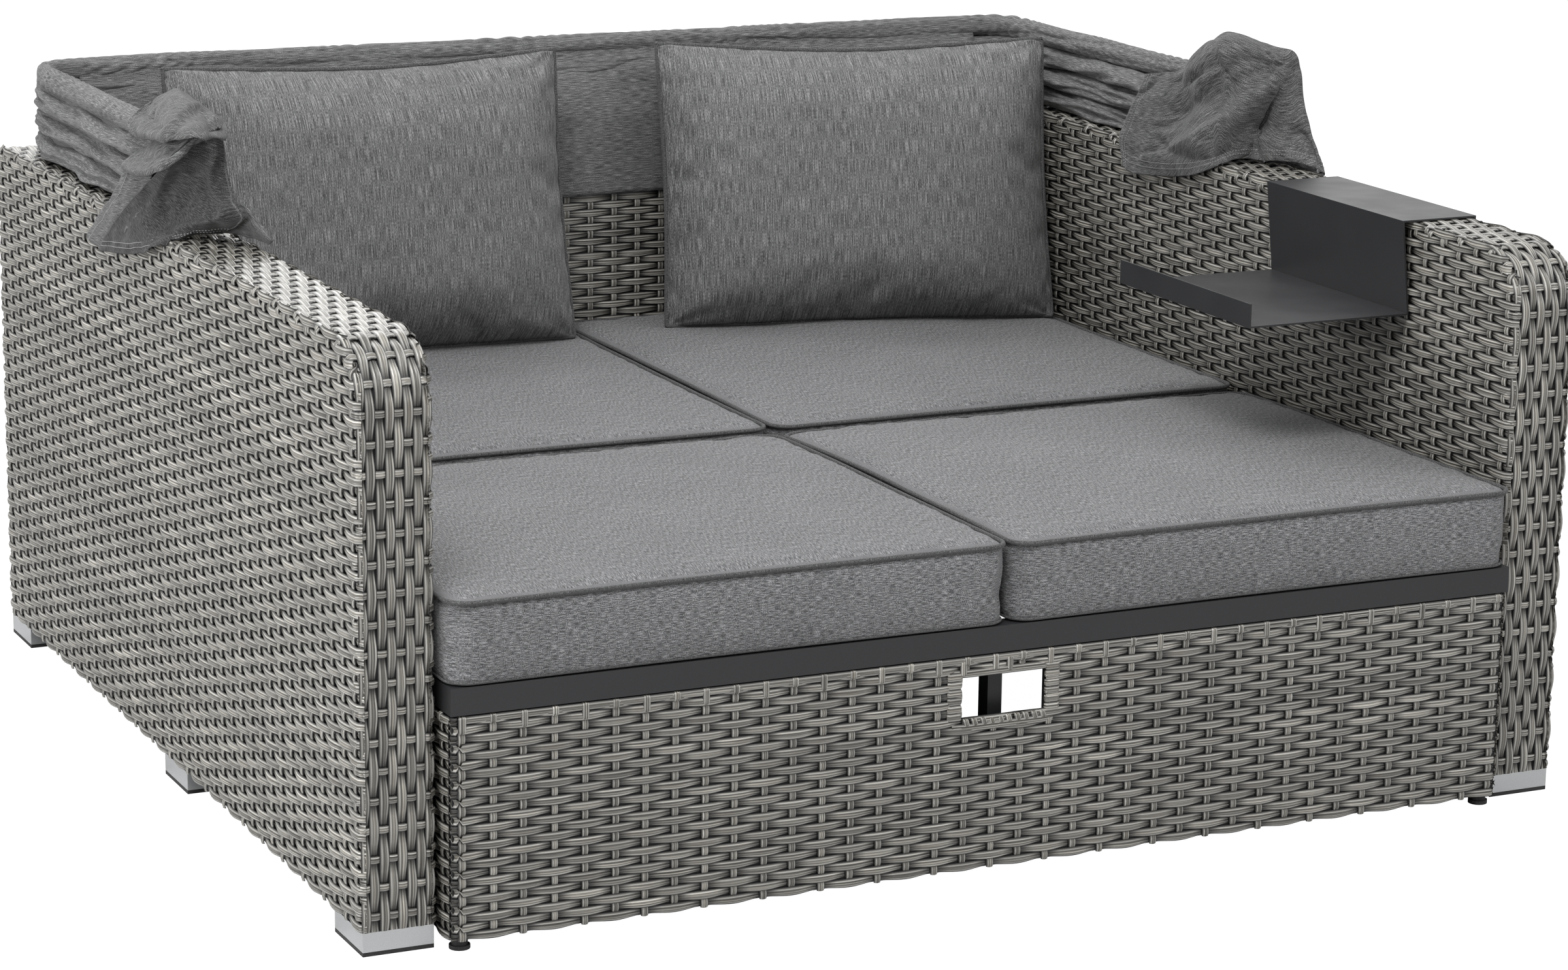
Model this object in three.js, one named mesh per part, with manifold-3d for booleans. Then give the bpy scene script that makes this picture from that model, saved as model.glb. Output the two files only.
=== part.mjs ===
// Outdoor daybed with a fold-back canopy: a woven tub on six feet, a bench that pulls out of its front,
// four seat cushions, two back pillows, a canopy on four hoops and a hook-on side tray.
// Millimetres, +X to the right, +Y to the back, +Z up. The origin is on the floor under the middle.
import * as THREE from "three";
import { mergeVertices } from "three/addons/utils/BufferGeometryUtils.js";
import Module from "manifold-3d";

const wasm = await Module();
wasm.setup();

// Driving dimensions
const overallWidth = 1700;
const overallDepth = 1575;
const armTop = 745;
const armThickness = 98;
const backThickness = 98;
const weaveBottom = 30;
const weaveSkin = 8;
const restGap = 0.3;
const overrun = 20;

// Places along the depth, as shares of it
const pivotShare = 0.5333;
const seatSplitShare = 0.4254;
const middleUprightShare = 0.473;
const leftFlapFrontShare = 0.3556;
const rightFlapFrontShare = 0.3822;
const trayFrontShare = 0.1556;
const trayRearShare = 0.3778;

// Woven tub
const armFrontRadius = 80;
const armRearRadius = 25;
const backFrontRadius = 12;
const leastRadius = 2;
const armInner = overallWidth / 2 - armThickness;
const armMiddle = overallWidth / 2 - armThickness / 2;
const backInner = overallDepth - backThickness;

// Tube frames inside the weave
const frameTube = 20;
const middleUpright = overallDepth * middleUprightShare;
const bracketBlockLength = 76;

// Feet
const footLength = 100;
const footInset = 4;
const footWall = 4;
const footPocket = 12;
const padHeight = 5;
const padPlug = 9;

// Seat decks
const seatSplit = overallDepth * seatSplitShare;
const deckTop = 329;
const deckHeight = 34;
const deckBottom = deckTop - deckHeight;
const deckTube = 30;
const deckBehindSplit = -2;
const deckFront = seatSplit + deckBehindSplit;
const slatCount = 10;
const slatWidth = 40;
const slatHeight = 8;
const deckBoltRadius = 4;
const deckBoltHead = 7;
const deckBoltHeadHeight = 5;
const deckBoltInset = 90;
const boltClearance = 0.3;

// Pull-out bench
const benchFront = -28;
const benchBeforeSplit = 15;
const benchRear = seatSplit - benchBeforeSplit;
const benchSideGap = 4;
const benchHalf = armInner - benchSideGap;
const apronThickness = 22;
const apronBottom = 12;
const apronTop = deckBottom - restGap;
const benchTube = 25;
const benchDeckInset = 3;
const benchRearRailLift = 45;
const slotLeft = -66;
const slotRight = 53;
const slotBottom = 212;
const slotTop = 268;
const slotBarLeft = -12;
const slotBarRight = 8;
const slotBarBehind = 12;
const glideRadius = 13;
const glideNeckRadius = 10;
const glideFoot = 5;
const glideInsetX = 20;
const glideInsetY = 20;
const guideLength = 300;
const guideHeight = 40;
const guideBottom = 120;
const guideInset = 15;

// Seat cushions
const seatHeight = 100;
const seatCrown = 10;
const seatBottom = deckTop + restGap;
const seatTop = seatBottom + seatHeight;
const seatMiddleGap = 4;
const seatSideGap = 6;
const seatFront = -34;
const seatRearGap = 8;
const seatCornerRadius = 28;
const seatDrawIn = 5;
// Each row: height as a share of the side, then inset as a share of the crown's run, then crown share
const seatProfileShares = [
  [0, 0.03, 0],
  [0.08, 0.004, 0],
  [0.5, 0, 0],
  [0.93, 0.004, 0],
  [1, 0.03, 0],
  [1, 0.14, 0.5],
  [1, 0.42, 0.88],
  [1, 1, 1],
];
const seatCrownRun = 165;
const mostRoundShare = 0.8;

// Back pillows
const pillowWidthShare = 0.82;
const pillowWidth = armInner * pillowWidthShare;
const pillowHeight = 440;
const pillowFrontBulge = 88;
const pillowRearBulge = 104;
const pillowRim = 4;
const pillowCornerRadius = 20;
const pillowDrawIn = 12;
const pillowRun = 175;
// Each row: inset as a share of the crown's run, then thickness share
const pillowProfileShares = [
  [0.09, 0.3],
  [0.28, 0.6],
  [0.58, 0.87],
  [1, 1],
];
// Each pillow's middle as a share of the half width, then its turn and lean in degrees
const leftPillow = { acrossShare: -0.453, turn: 0, lean: 11 };
const rightPillow = { acrossShare: 0.563, turn: -13.5, lean: 14 };

// Canopy hoops
const pivotY = overallDepth * pivotShare;
const pivotZ = 805;
const hoopTubeRadius = 8;
const hoopSides = 8;
const hoopCornerRadius = 50;
const hoopRear = overallDepth - backThickness / 2;
const tubeStart = 150;
const sleeveStart = 190;
const sleeveHeight = 31.5;
const sleeveWidth = 56;
const sleeveRuffle = 1.6;
const sleevePitch = sleeveHeight + restGap;
const lowestSleeve = armTop + restGap + sleeveHeight / 2;
const boreRadius = hoopTubeRadius + 1.4;
const boreSides = 6;
const endPlate = 4;
const endPlateGap = 0.4;
const endPlateRadius = 11;
const plateOverlap = 24;
const hoopCount = 4;

// Canopy brackets and pivot bolts
const bracketPlate = 4;
const bracketWidth = 66;
const bracketLength = 66;
const earRadius = 13;
const pivotBoltRadius = 5;
const pivotHoleRadius = 5.6;
const pivotHeadRadius = 9;
const pivotHeadHeight = 5;
const pivotNutHeight = 6;
const screwRadius = 3;
const screwHead = 5.5;
const screwHeadHeight = 3;
const screwLength = 28;
const screwOffset = 25;

// Canopy cloth
const clothThickness = 5;
const clothStandOff = 0.5;
const flapSwell = 12;
const flapCrest = 165;
const flapDrop = 68;
const flapLeastDrop = 6;
const flapRear = pivotY + sleeveStart - 8;
// Each row: place along the flap, crest share, outer drop share, inner drop share
const leftFlapShares = [
  [0, 0.12, 0, 0.06],
  [0.1, 0.42, 0.04, 0.12],
  [0.22, 0.84, 0.16, 0.14],
  [0.34, 0.93, 0.34, 0.1],
  [0.46, 0.86, 0.44, 0.06],
  [0.58, 0.9, 0.56, 0.04],
  [0.68, 1, 0.68, 0.02],
  [0.8, 0.95, 0.82, 0],
  [0.9, 0.88, 0.95, 0],
  [1, 0.84, 1, 0],
];
const rightFlapShares = [
  [0, 0.5, 0.06, 0.05],
  [0.08, 0.82, 0.1, 0.2],
  [0.2, 1, 0.08, 0.42],
  [0.32, 0.96, 0.06, 0.55],
  [0.45, 1, 0.04, 0.64],
  [0.58, 0.93, 0.03, 0.72],
  [0.7, 0.86, 0.02, 0.8],
  [0.82, 0.88, 0.01, 0.9],
  [0.92, 0.86, 0, 1],
  [1, 0.84, 0, 0.9],
];
// Outline of the cloth over an arm: half-width share, then crest share
const flapOutlineShares = [
  [1, 0],
  [0.88, 0.5],
  [0.48, 0.9],
  [0, 1],
  [-0.48, 0.9],
  [-0.88, 0.5],
  [-1, 0],
];
const valanceThickness = 3;
const valanceHem = 635;
const valanceFold = 5;
const valanceFolds = 7;
const valanceEnd = 14;
const valanceSteps = 28;

// Side tray
const trayThickness = 2.5;
const trayFront = overallDepth * trayFrontShare;
const trayRear = overallDepth * trayRearShare;
const trayFlange = 17;
const trayWallLean = 16;
const trayTopInner = armInner - trayWallLean;
const trayShelfHeight = 618;
const trayShelfReach = 252;
const trayShelfEnd = armInner - trayShelfReach;
const trayLip = 32;
const trayWallFoot = armInner - restGap - trayThickness;

// Smoothness
const arcSteps = 6;
const roundSides = 16;
const cornerSteps = 2;
const sideSteps = 5;
const legSteps = 5;
const crossSteps = 9;

// Materials
function finish(color, roughness, metalness) {
  return new THREE.MeshStandardMaterial({ color, roughness, metalness });
}
const weaveFinish = finish(0x85857f, 0.55, 0);
const fabricFinish = finish(0x5c5d5f, 0.9, 0);
const anthracite = finish(0x37383a, 0.5, 0.4);
const aluminium = finish(0xb9bbbd, 0.35, 0.9);
const rubber = finish(0x18181a, 0.8, 0);
const steel = finish(0x8c8e90, 0.35, 0.9);

// Solids
function solidOf(geometry) {
  const bare = geometry.clone();
  bare.deleteAttribute("normal");
  bare.deleteAttribute("uv");
  const merged = mergeVertices(bare);
  const vertProperties = merged.attributes.position.array;
  const triVerts = new Uint32Array(merged.index.array);
  return new wasm.Manifold(new wasm.Mesh({ numProp: 3, vertProperties, triVerts }));
}

function geometryOf(solid) {
  const mesh = solid.getMesh();
  const geometry = new THREE.BufferGeometry();
  geometry.setAttribute("position", new THREE.BufferAttribute(mesh.vertProperties, 3));
  geometry.setIndex(new THREE.BufferAttribute(mesh.triVerts, 1));
  return geometry;
}

function join(...geometries) {
  return geometryOf(geometries.map(solidOf).reduce((whole, piece) => whole.add(piece)));
}

function cut(geometry, ...cutters) {
  return geometryOf(cutters.map(solidOf).reduce((rest, cutter) => rest.subtract(cutter), solidOf(geometry)));
}

function block(lowX, highX, lowY, highY, lowZ, highZ) {
  const geometry = new THREE.BoxGeometry(highX - lowX, highY - lowY, highZ - lowZ);
  return geometry.translate((lowX + highX) / 2, (lowY + highY) / 2, (lowZ + highZ) / 2);
}

// A round bar from one point to another
function rod(radius, from, to, sides = roundSides) {
  const along = new THREE.Vector3().subVectors(to, from);
  const geometry = new THREE.CylinderGeometry(radius, radius, along.length(), sides);
  const up = new THREE.Vector3(0, 1, 0);
  geometry.applyQuaternion(new THREE.Quaternion().setFromUnitVectors(up, along.clone().normalize()));
  return geometry.translate((from.x + to.x) / 2, (from.y + to.y) / 2, (from.z + to.z) / 2);
}

// A shape drawn in Y and Z, extruded along X between two places
function alongX(shape, oneX, otherX) {
  const depth = Math.abs(otherX - oneX);
  const geometry = new THREE.ExtrudeGeometry(shape, { depth, bevelEnabled: false, curveSegments: arcSteps });
  const toY = new THREE.Vector3(0, 1, 0);
  const toZ = new THREE.Vector3(0, 0, 1);
  const toX = new THREE.Vector3(1, 0, 0);
  geometry.applyMatrix4(new THREE.Matrix4().makeBasis(toY, toZ, toX));
  return geometry.translate(Math.min(oneX, otherX), 0, 0);
}

// A shape drawn in X and Z, extruded along Y between two places
function alongY(shape, lowY, highY) {
  const depth = highY - lowY;
  const geometry = new THREE.ExtrudeGeometry(shape, { depth, bevelEnabled: false, curveSegments: arcSteps });
  return geometry.rotateX(Math.PI / 2).translate(0, highY, 0);
}

// A shape drawn in X and Y, extruded along Z between two heights
function alongZ(shape, lowZ, highZ) {
  const depth = highZ - lowZ;
  const geometry = new THREE.ExtrudeGeometry(shape, { depth, bevelEnabled: false, curveSegments: arcSteps });
  return geometry.translate(0, 0, lowZ);
}

// The way a closed ring of points faces, by Newell's sum
function ringNormal(ring) {
  const normal = new THREE.Vector3();
  ring.forEach((a, i) => {
    const b = ring[(i + 1) % ring.length];
    normal.x += (a.y - b.y) * (a.z + b.z);
    normal.y += (a.z - b.z) * (a.x + b.x);
    normal.z += (a.x - b.x) * (a.y + b.y);
  });
  return normal.normalize();
}

function capFaces(ring) {
  const normal = ringNormal(ring);
  const side = new THREE.Vector3(1, 0, 0);
  if (Math.abs(normal.x) > Math.abs(normal.y) && Math.abs(normal.x) > Math.abs(normal.z)) side.set(0, 1, 0);
  const u = side.clone().cross(normal).normalize();
  const v = normal.clone().cross(u);
  const flat = ring.map((p) => new THREE.Vector2(p.dot(u), p.dot(v)));
  return THREE.ShapeUtils.triangulateShape(flat, []);
}

// A closed solid through rings of points, with flat ends, turned to face outwards
function loft(rings) {
  const count = rings[0].length;
  const faces = [];
  for (let i = 1; i < rings.length; i += 1) {
    for (let j = 0; j < count; j += 1) {
      const next = (j + 1) % count;
      const low = (i - 1) * count;
      const high = i * count;
      faces.push([low + j, low + next, high + next], [low + j, high + next, high + j]);
    }
  }
  const last = (rings.length - 1) * count;
  capFaces(rings[0]).forEach(([a, b, c]) => faces.push([c, b, a]));
  capFaces(rings[rings.length - 1]).forEach(([a, b, c]) => faces.push([last + a, last + b, last + c]));
  const corners = rings.flat();
  const volume = faces.reduce((sum, [a, b, c]) => {
    const edge = corners[b].clone().cross(corners[c]);
    return sum + corners[a].dot(edge);
  }, 0);
  const turned = volume < 0 ? faces.map(([a, b, c]) => [a, c, b]) : faces;
  const geometry = new THREE.BufferGeometry().setFromPoints(corners);
  geometry.setIndex(turned.flat());
  return geometry;
}

const daybed = new THREE.Group();
daybed.name = "outdoor_daybed";

function place(name, geometry, material) {
  const mesh = new THREE.Mesh(geometry, material);
  mesh.name = name;
  daybed.add(mesh);
  return mesh;
}

const sides = [
  { name: "left", sign: -1 },
  { name: "right", sign: 1 },
];

// Side outline of an arm, drawn in Y and Z, drawn in from the outside by an inset
function armShape(inset, bottom) {
  const front = inset;
  const rear = overallDepth - inset;
  const top = armTop - inset;
  const frontRadius = Math.max(armFrontRadius - inset, leastRadius);
  const rearRadius = Math.max(armRearRadius - inset, leastRadius);
  const shape = new THREE.Shape();
  shape.moveTo(front, bottom);
  shape.lineTo(rear, bottom);
  shape.absarc(rear - rearRadius, top - rearRadius, rearRadius, 0, Math.PI / 2, false);
  shape.absarc(front + frontRadius, top - frontRadius, frontRadius, Math.PI / 2, Math.PI, false);
  shape.closePath();
  return shape;
}

// The four bolts that hold the rear deck between the arms
const deckBoltRows = [deckFront + deckBoltInset, backInner - deckBoltInset];
const deckBoltZ = (deckTop + deckBottom) / 2;
const deckBoltReach = armInner + weaveSkin + frameTube;

function deckBoltHoles(sign) {
  return deckBoltRows.map((y) => {
    const from = new THREE.Vector3(sign * (armInner - deckTube - overrun), y, deckBoltZ);
    const to = new THREE.Vector3(sign * (deckBoltReach + overrun), y, deckBoltZ);
    return rod(deckBoltRadius + boltClearance, from, to);
  });
}

// The screws that hold a canopy bracket on an arm
const screwRows = [pivotY - screwOffset, pivotY + screwOffset];

function screwHoles(sign) {
  return screwRows.map((y) => {
    const from = new THREE.Vector3(sign * armMiddle, y, armTop - screwLength - overrun);
    const to = new THREE.Vector3(sign * armMiddle, y, armTop + bracketPlate + overrun);
    return rod(screwRadius + boltClearance, from, to);
  });
}

function armWeave(sign) {
  const outer = alongX(armShape(0, weaveBottom), sign * armInner, (sign * overallWidth) / 2);
  const hollowFrom = sign * (armInner + weaveSkin);
  const hollowTo = sign * (overallWidth / 2 - weaveSkin);
  const hollow = alongX(armShape(weaveSkin, weaveBottom - overrun), hollowFrom, hollowTo);
  return cut(outer, hollow, ...deckBoltHoles(sign), ...screwHoles(sign));
}

function backWeave() {
  const front = backInner;
  const half = armInner - restGap;
  const shape = (inset, bottom) => {
    const low = front + inset;
    const high = overallDepth - inset;
    const top = armTop - inset;
    const lowRadius = Math.max(backFrontRadius - inset, leastRadius);
    const highRadius = Math.max(armRearRadius - inset, leastRadius);
    const outline = new THREE.Shape();
    outline.moveTo(low, bottom);
    outline.lineTo(high, bottom);
    outline.absarc(high - highRadius, top - highRadius, highRadius, 0, Math.PI / 2, false);
    outline.absarc(low + lowRadius, top - lowRadius, lowRadius, Math.PI / 2, Math.PI, false);
    outline.closePath();
    return outline;
  };
  const outer = alongX(shape(0, weaveBottom), -half, half);
  const hollow = alongX(shape(weaveSkin, weaveBottom - overrun), -half + weaveSkin, half - weaveSkin);
  return cut(outer, hollow);
}

// Two ladder loops of tube inside an arm, joined by cross tubes
function armFrame(sign) {
  const inset = weaveSkin + restGap;
  const rear = overallDepth - inset;
  const top = armTop - inset;
  const half = frameTube / 2;
  const outline = armShape(inset, weaveBottom);
  const opening = armShape(inset + frameTube, weaveBottom + frameTube);
  const ladder = (nearX) => {
    const farX = nearX + frameTube;
    const ring = cut(alongX(outline, nearX, farX), alongX(opening, nearX - overrun, farX + overrun));
    const upright = block(nearX, farX, middleUpright - half, middleUpright + half, weaveBottom, top);
    const rail = block(nearX, farX, inset, rear, deckBottom, deckTop);
    return join(ring, upright, rail);
  };
  const innerX = sign * (armInner + inset);
  const outerX = sign * (overallWidth / 2 - inset);
  const lowX = Math.min(innerX, outerX);
  const highX = Math.max(innerX, outerX);
  const cross = (y, z) => block(lowX, highX, y - half, y + half, z - half, z + half);
  const uprights = [inset + half, middleUpright, rear - half];
  const crosses = uprights.map((y) => cross(y, weaveBottom + half));
  crosses.push(cross(inset + armFrontRadius, top - half), cross(rear - armRearRadius, top - half));
  const lowBlock = pivotY - bracketBlockLength / 2;
  const highBlock = pivotY + bracketBlockLength / 2;
  crosses.push(block(lowX, highX, lowBlock, highBlock, top - frameTube, top));
  const welded = join(ladder(lowX), ladder(highX - frameTube), ...crosses);
  return cut(welded, ...deckBoltHoles(sign), ...screwHoles(sign));
}

// A box ring inside the back, with a middle upright
function backFrame() {
  const inset = weaveSkin + restGap;
  const half = armInner - restGap - inset;
  const inside = half - frameTube;
  const top = armTop - inset;
  const low = backInner + backFrontRadius;
  const high = overallDepth - armRearRadius;
  const lowZ = weaveBottom + frameTube;
  const outer = block(-half, half, low, high, weaveBottom, top);
  const window = block(-inside, inside, low - overrun, high + overrun, lowZ, top - frameTube);
  const upright = block(-frameTube / 2, frameTube / 2, low, high, weaveBottom, top);
  return join(cut(outer, window), upright);
}

// Feet: an aluminium sleeve with a rubber pad plugged in from below
const footRows = [
  { name: "front", y: footInset },
  { name: "middle", y: middleUpright - footLength / 2 },
  { name: "rear", y: overallDepth - footInset - footLength },
];

function footSleeve(sign, lowY) {
  const oneX = sign * (armInner + footInset);
  const otherX = sign * (overallWidth / 2 - footInset);
  const lowX = Math.min(oneX, otherX);
  const highX = Math.max(oneX, otherX);
  const highY = lowY + footLength;
  const low = padHeight + restGap;
  const outer = block(lowX, highX, lowY, highY, low, weaveBottom - restGap);
  const inLowX = lowX + footWall;
  const inHighX = highX - footWall;
  const pocket = block(inLowX, inHighX, lowY + footWall, highY - footWall, low - overrun, low + footPocket);
  return cut(outer, pocket);
}

function footPad(sign, lowY) {
  const oneX = sign * (armInner + footInset);
  const otherX = sign * (overallWidth / 2 - footInset);
  const lowX = Math.min(oneX, otherX);
  const highX = Math.max(oneX, otherX);
  const highY = lowY + footLength;
  const inset = footWall + restGap;
  const slab = block(lowX, highX, lowY, highY, 0, padHeight);
  const plugTop = padHeight + padPlug;
  const plug = block(lowX + inset, highX - inset, lowY + inset, highY - inset, 0, plugTop);
  return join(slab, plug);
}

sides.forEach(({ name, sign }) => {
  place(`${name}_arm_weave`, armWeave(sign), weaveFinish);
  place(`${name}_arm_frame`, armFrame(sign), anthracite);
  footRows.forEach((row) => {
    place(`foot_${name}_${row.name}`, footSleeve(sign, row.y), aluminium);
    place(`pad_${name}_${row.name}`, footPad(sign, row.y), rubber);
  });
});
place("back_weave", backWeave(), weaveFinish);
place("back_frame", backFrame(), anthracite);

// A deck: a ring of tube with slats across its top, front to back
function deckRing(half, front, rear) {
  const outer = block(-half, half, front, rear, deckBottom, deckTop);
  const inLow = front + deckTube;
  const inHigh = rear - deckTube;
  const inside = half - deckTube;
  const window = block(-inside, inside, inLow, inHigh, deckBottom - overrun, deckTop + overrun);
  const slatPitch = (inside * 2) / (slatCount + 1);
  const slats = [];
  for (let i = 1; i <= slatCount; i += 1) {
    const x = -inside + i * slatPitch;
    const lowY = front + deckTube / 2;
    const highY = rear - deckTube / 2;
    slats.push(block(x - slatWidth / 2, x + slatWidth / 2, lowY, highY, deckTop - slatHeight, deckTop));
  }
  return join(cut(outer, window), ...slats);
}

function rearDeck() {
  const ring = deckRing(armInner - restGap, deckFront, backInner - restGap);
  return cut(ring, ...deckBoltHoles(-1), ...deckBoltHoles(1));
}

place("rear_deck_frame", rearDeck(), anthracite);

function deckBolt(sign, y) {
  const headInner = armInner - restGap - deckTube - restGap;
  const head = new THREE.Vector3(sign * (headInner - deckBoltHeadHeight), y, deckBoltZ);
  const seat = new THREE.Vector3(sign * headInner, y, deckBoltZ);
  const tip = new THREE.Vector3(sign * deckBoltReach, y, deckBoltZ);
  const shank = rod(deckBoltRadius, seat.clone().lerp(head, 1 / 2), tip);
  return join(rod(deckBoltHead, head, seat, boreSides), shank);
}

sides.forEach(({ name, sign }) => {
  place(`deck_bolt_${name}_front`, deckBolt(sign, deckBoltRows[0]), steel);
  place(`deck_bolt_${name}_rear`, deckBolt(sign, deckBoltRows[1]), steel);
});

// The pull-out bench: deck, legs, bottom rails and the bar behind the handle slot
const benchInside = benchHalf - apronThickness - restGap;
const benchFrameFront = benchFront + apronThickness + restGap;

function benchFrame() {
  const deck = deckRing(benchHalf - benchDeckInset, benchFront, benchRear);
  const lowZ = apronBottom;
  const railTop = apronBottom + benchTube;
  const pieces = [deck];
  [-1, 1].forEach((sign) => {
    const lowX = Math.min(sign * benchInside, sign * (benchInside - benchTube));
    const highX = lowX + benchTube;
    pieces.push(block(lowX, highX, benchFrameFront, benchFrameFront + benchTube, lowZ, deckTop - slatHeight));
    pieces.push(block(lowX, highX, benchRear - benchTube, benchRear, lowZ, deckTop - slatHeight));
    pieces.push(block(lowX, highX, benchFrameFront, benchRear, lowZ, railTop));
  });
  pieces.push(block(-benchInside, benchInside, benchFrameFront, benchFrameFront + benchTube, lowZ, railTop));
  const rearRailLow = railTop + benchRearRailLift;
  const rearRailTop = rearRailLow + benchTube;
  pieces.push(block(-benchInside, benchInside, benchRear - benchTube, benchRear, rearRailLow, rearRailTop));
  const barFront = benchFrameFront + slotBarBehind;
  const barRear = barFront + benchTube;
  pieces.push(block(slotBarLeft, slotBarRight, barFront, barRear, lowZ, deckTop - slatHeight));
  pieces.push(block(slotBarLeft, slotBarRight, benchFrameFront, barRear, lowZ, railTop));
  return join(...pieces);
}

function benchApron() {
  const outline = new THREE.Shape();
  const inner = benchHalf - apronThickness;
  outline.moveTo(-benchHalf, benchFront);
  outline.lineTo(benchHalf, benchFront);
  outline.lineTo(benchHalf, benchRear);
  outline.lineTo(inner, benchRear);
  outline.lineTo(inner, benchFront + apronThickness);
  outline.lineTo(-inner, benchFront + apronThickness);
  outline.lineTo(-inner, benchRear);
  outline.lineTo(-benchHalf, benchRear);
  outline.closePath();
  const panel = alongZ(outline, apronBottom, apronTop);
  const slotFront = benchFront - overrun;
  const slotRear = benchFrameFront + overrun;
  return cut(panel, block(slotLeft, slotRight, slotFront, slotRear, slotBottom, slotTop));
}

function glide(x, y) {
  const top = apronBottom - restGap;
  const profile = [
    [0, 0],
    [glideRadius, 0],
    [glideRadius, glideFoot],
    [glideNeckRadius, glideFoot],
    [glideNeckRadius, top],
    [0, top],
  ];
  const points = profile.map(([radius, z]) => new THREE.Vector2(radius, z));
  return new THREE.LatheGeometry(points, roundSides).rotateX(Math.PI / 2).translate(x, y, 0);
}

// A flat strip on each side of the bench that runs along the arm
function benchGuide(sign) {
  const oneX = sign * (benchHalf + restGap);
  const otherX = sign * (armInner - restGap);
  const lowX = Math.min(oneX, otherX);
  const highX = Math.max(oneX, otherX);
  const rear = benchRear - guideInset;
  return block(lowX, highX, rear - guideLength, rear, guideBottom, guideBottom + guideHeight);
}

place("bench_frame", benchFrame(), anthracite);
place("bench_apron_weave", benchApron(), weaveFinish);
sides.forEach(({ name, sign }) => {
  place(`bench_guide_${name}`, benchGuide(sign), rubber);
  const x = sign * (benchHalf - glideInsetX);
  place(`bench_glide_${name}_front`, glide(x, benchFront + glideInsetY), rubber);
  place(`bench_glide_${name}_rear`, glide(x, benchRear - glideInsetY), rubber);
});

// One closed outline of a cushion, whose sides are drawn in between its corners
function cushionOutline(halfU, halfV, wantedRadius, drawIns) {
  const radius = Math.min(wantedRadius, mostRoundShare * Math.min(halfU, halfV));
  const points = [];
  const corners = [
    [halfU, -halfV, -Math.PI / 2],
    [halfU, halfV, 0],
    [-halfU, halfV, Math.PI / 2],
    [-halfU, -halfV, Math.PI],
  ];
  corners.forEach(([u, v, start], index) => {
    const centreU = u - Math.sign(u) * radius;
    const centreV = v - Math.sign(v) * radius;
    for (let i = 0; i <= cornerSteps; i += 1) {
      const angle = start + ((Math.PI / 2) * i) / cornerSteps;
      points.push([centreU + radius * Math.cos(angle), centreV + radius * Math.sin(angle)]);
    }
    const upright = index % 2 === 0;
    const runU = upright ? 0 : -2 * Math.sign(u) * (halfU - radius);
    const runV = upright ? -2 * Math.sign(v) * (halfV - radius) : 0;
    const fromU = upright ? u : centreU;
    const fromV = upright ? centreV : v;
    for (let i = 1; i < sideSteps; i += 1) {
      const share = i / sideSteps;
      const inward = drawIns[index] * Math.sin(Math.PI * share);
      const shiftU = upright ? -Math.sign(u) * inward : 0;
      const shiftV = upright ? 0 : -Math.sign(v) * inward;
      points.push([fromU + runU * share + shiftU, fromV + runV * share + shiftV]);
    }
  });
  return points;
}

function seatCushion(lowX, highX, lowY, highY) {
  const halfU = (highX - lowX) / 2;
  const halfV = (highY - lowY) / 2;
  const rings = seatProfileShares.map(([heightShare, insetShare, crownShare]) => {
    const inset = insetShare * seatCrownRun;
    const radius = seatCornerRadius + inset / 2;
    const drawIns = [0, 0, 0, 0].fill(seatDrawIn);
    const z = seatBottom + heightShare * seatHeight + crownShare * seatCrown;
    const outline = cushionOutline(halfU - inset, halfV - inset, radius, drawIns);
    return outline.map(([u, v]) => new THREE.Vector3((lowX + highX) / 2 + u, (lowY + highY) / 2 + v, z));
  });
  return loft(rings);
}

// A pillow standing on its seam, with its crown along Y
function pillow() {
  const halfU = pillowWidth / 2;
  const halfV = pillowHeight / 2;
  const ring = (insetShare, y) => {
    const inset = insetShare * pillowRun;
    const drawIn = pillowDrawIn * (1 - insetShare);
    const radius = pillowCornerRadius + inset / 2;
    const outline = cushionOutline(halfU - inset, halfV - inset, radius, [drawIn, drawIn, drawIn, 0]);
    return outline.map(([u, v]) => new THREE.Vector3(u, y, halfV + v));
  };
  const face = (bulge) => pillowProfileShares.map(([inset, share]) => ring(inset, share * bulge));
  const seam = [ring(0, pillowRim), ring(0, -pillowRim)];
  return loft([...face(pillowRearBulge).reverse(), ...seam, ...face(-pillowFrontBulge)]);
}

// It stands on the seat and leans back on the valance
function placePillow(name, { acrossShare, turn, lean }) {
  const geometry = pillow();
  geometry.rotateX(-THREE.MathUtils.degToRad(lean)).rotateZ(THREE.MathUtils.degToRad(turn));
  geometry.computeBoundingBox();
  const { min, max } = geometry.boundingBox;
  const rest = backInner - restGap - valanceThickness - valanceFold - restGap;
  const lift = seatTop + seatCrown + restGap - min.z;
  place(name, geometry.translate(acrossShare * armInner, rest - max.y, lift), fabricFinish);
}

sides.forEach(({ name, sign }) => {
  const nearX = (sign * seatMiddleGap) / 2;
  const farX = sign * (armInner - seatSideGap);
  const lowX = Math.min(nearX, farX);
  const highX = Math.max(nearX, farX);
  const splitFront = seatSplit - seatMiddleGap / 2;
  const splitRear = seatSplit + seatMiddleGap / 2;
  const rearCushion = seatCushion(lowX, highX, splitRear, backInner - seatRearGap);
  place(`front_seat_cushion_${name}`, seatCushion(lowX, highX, seatFront, splitFront), fabricFinish);
  place(`rear_seat_cushion_${name}`, rearCushion, fabricFinish);
});
placePillow("back_pillow_left", leftPillow);
placePillow("back_pillow_right", rightPillow);

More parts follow.
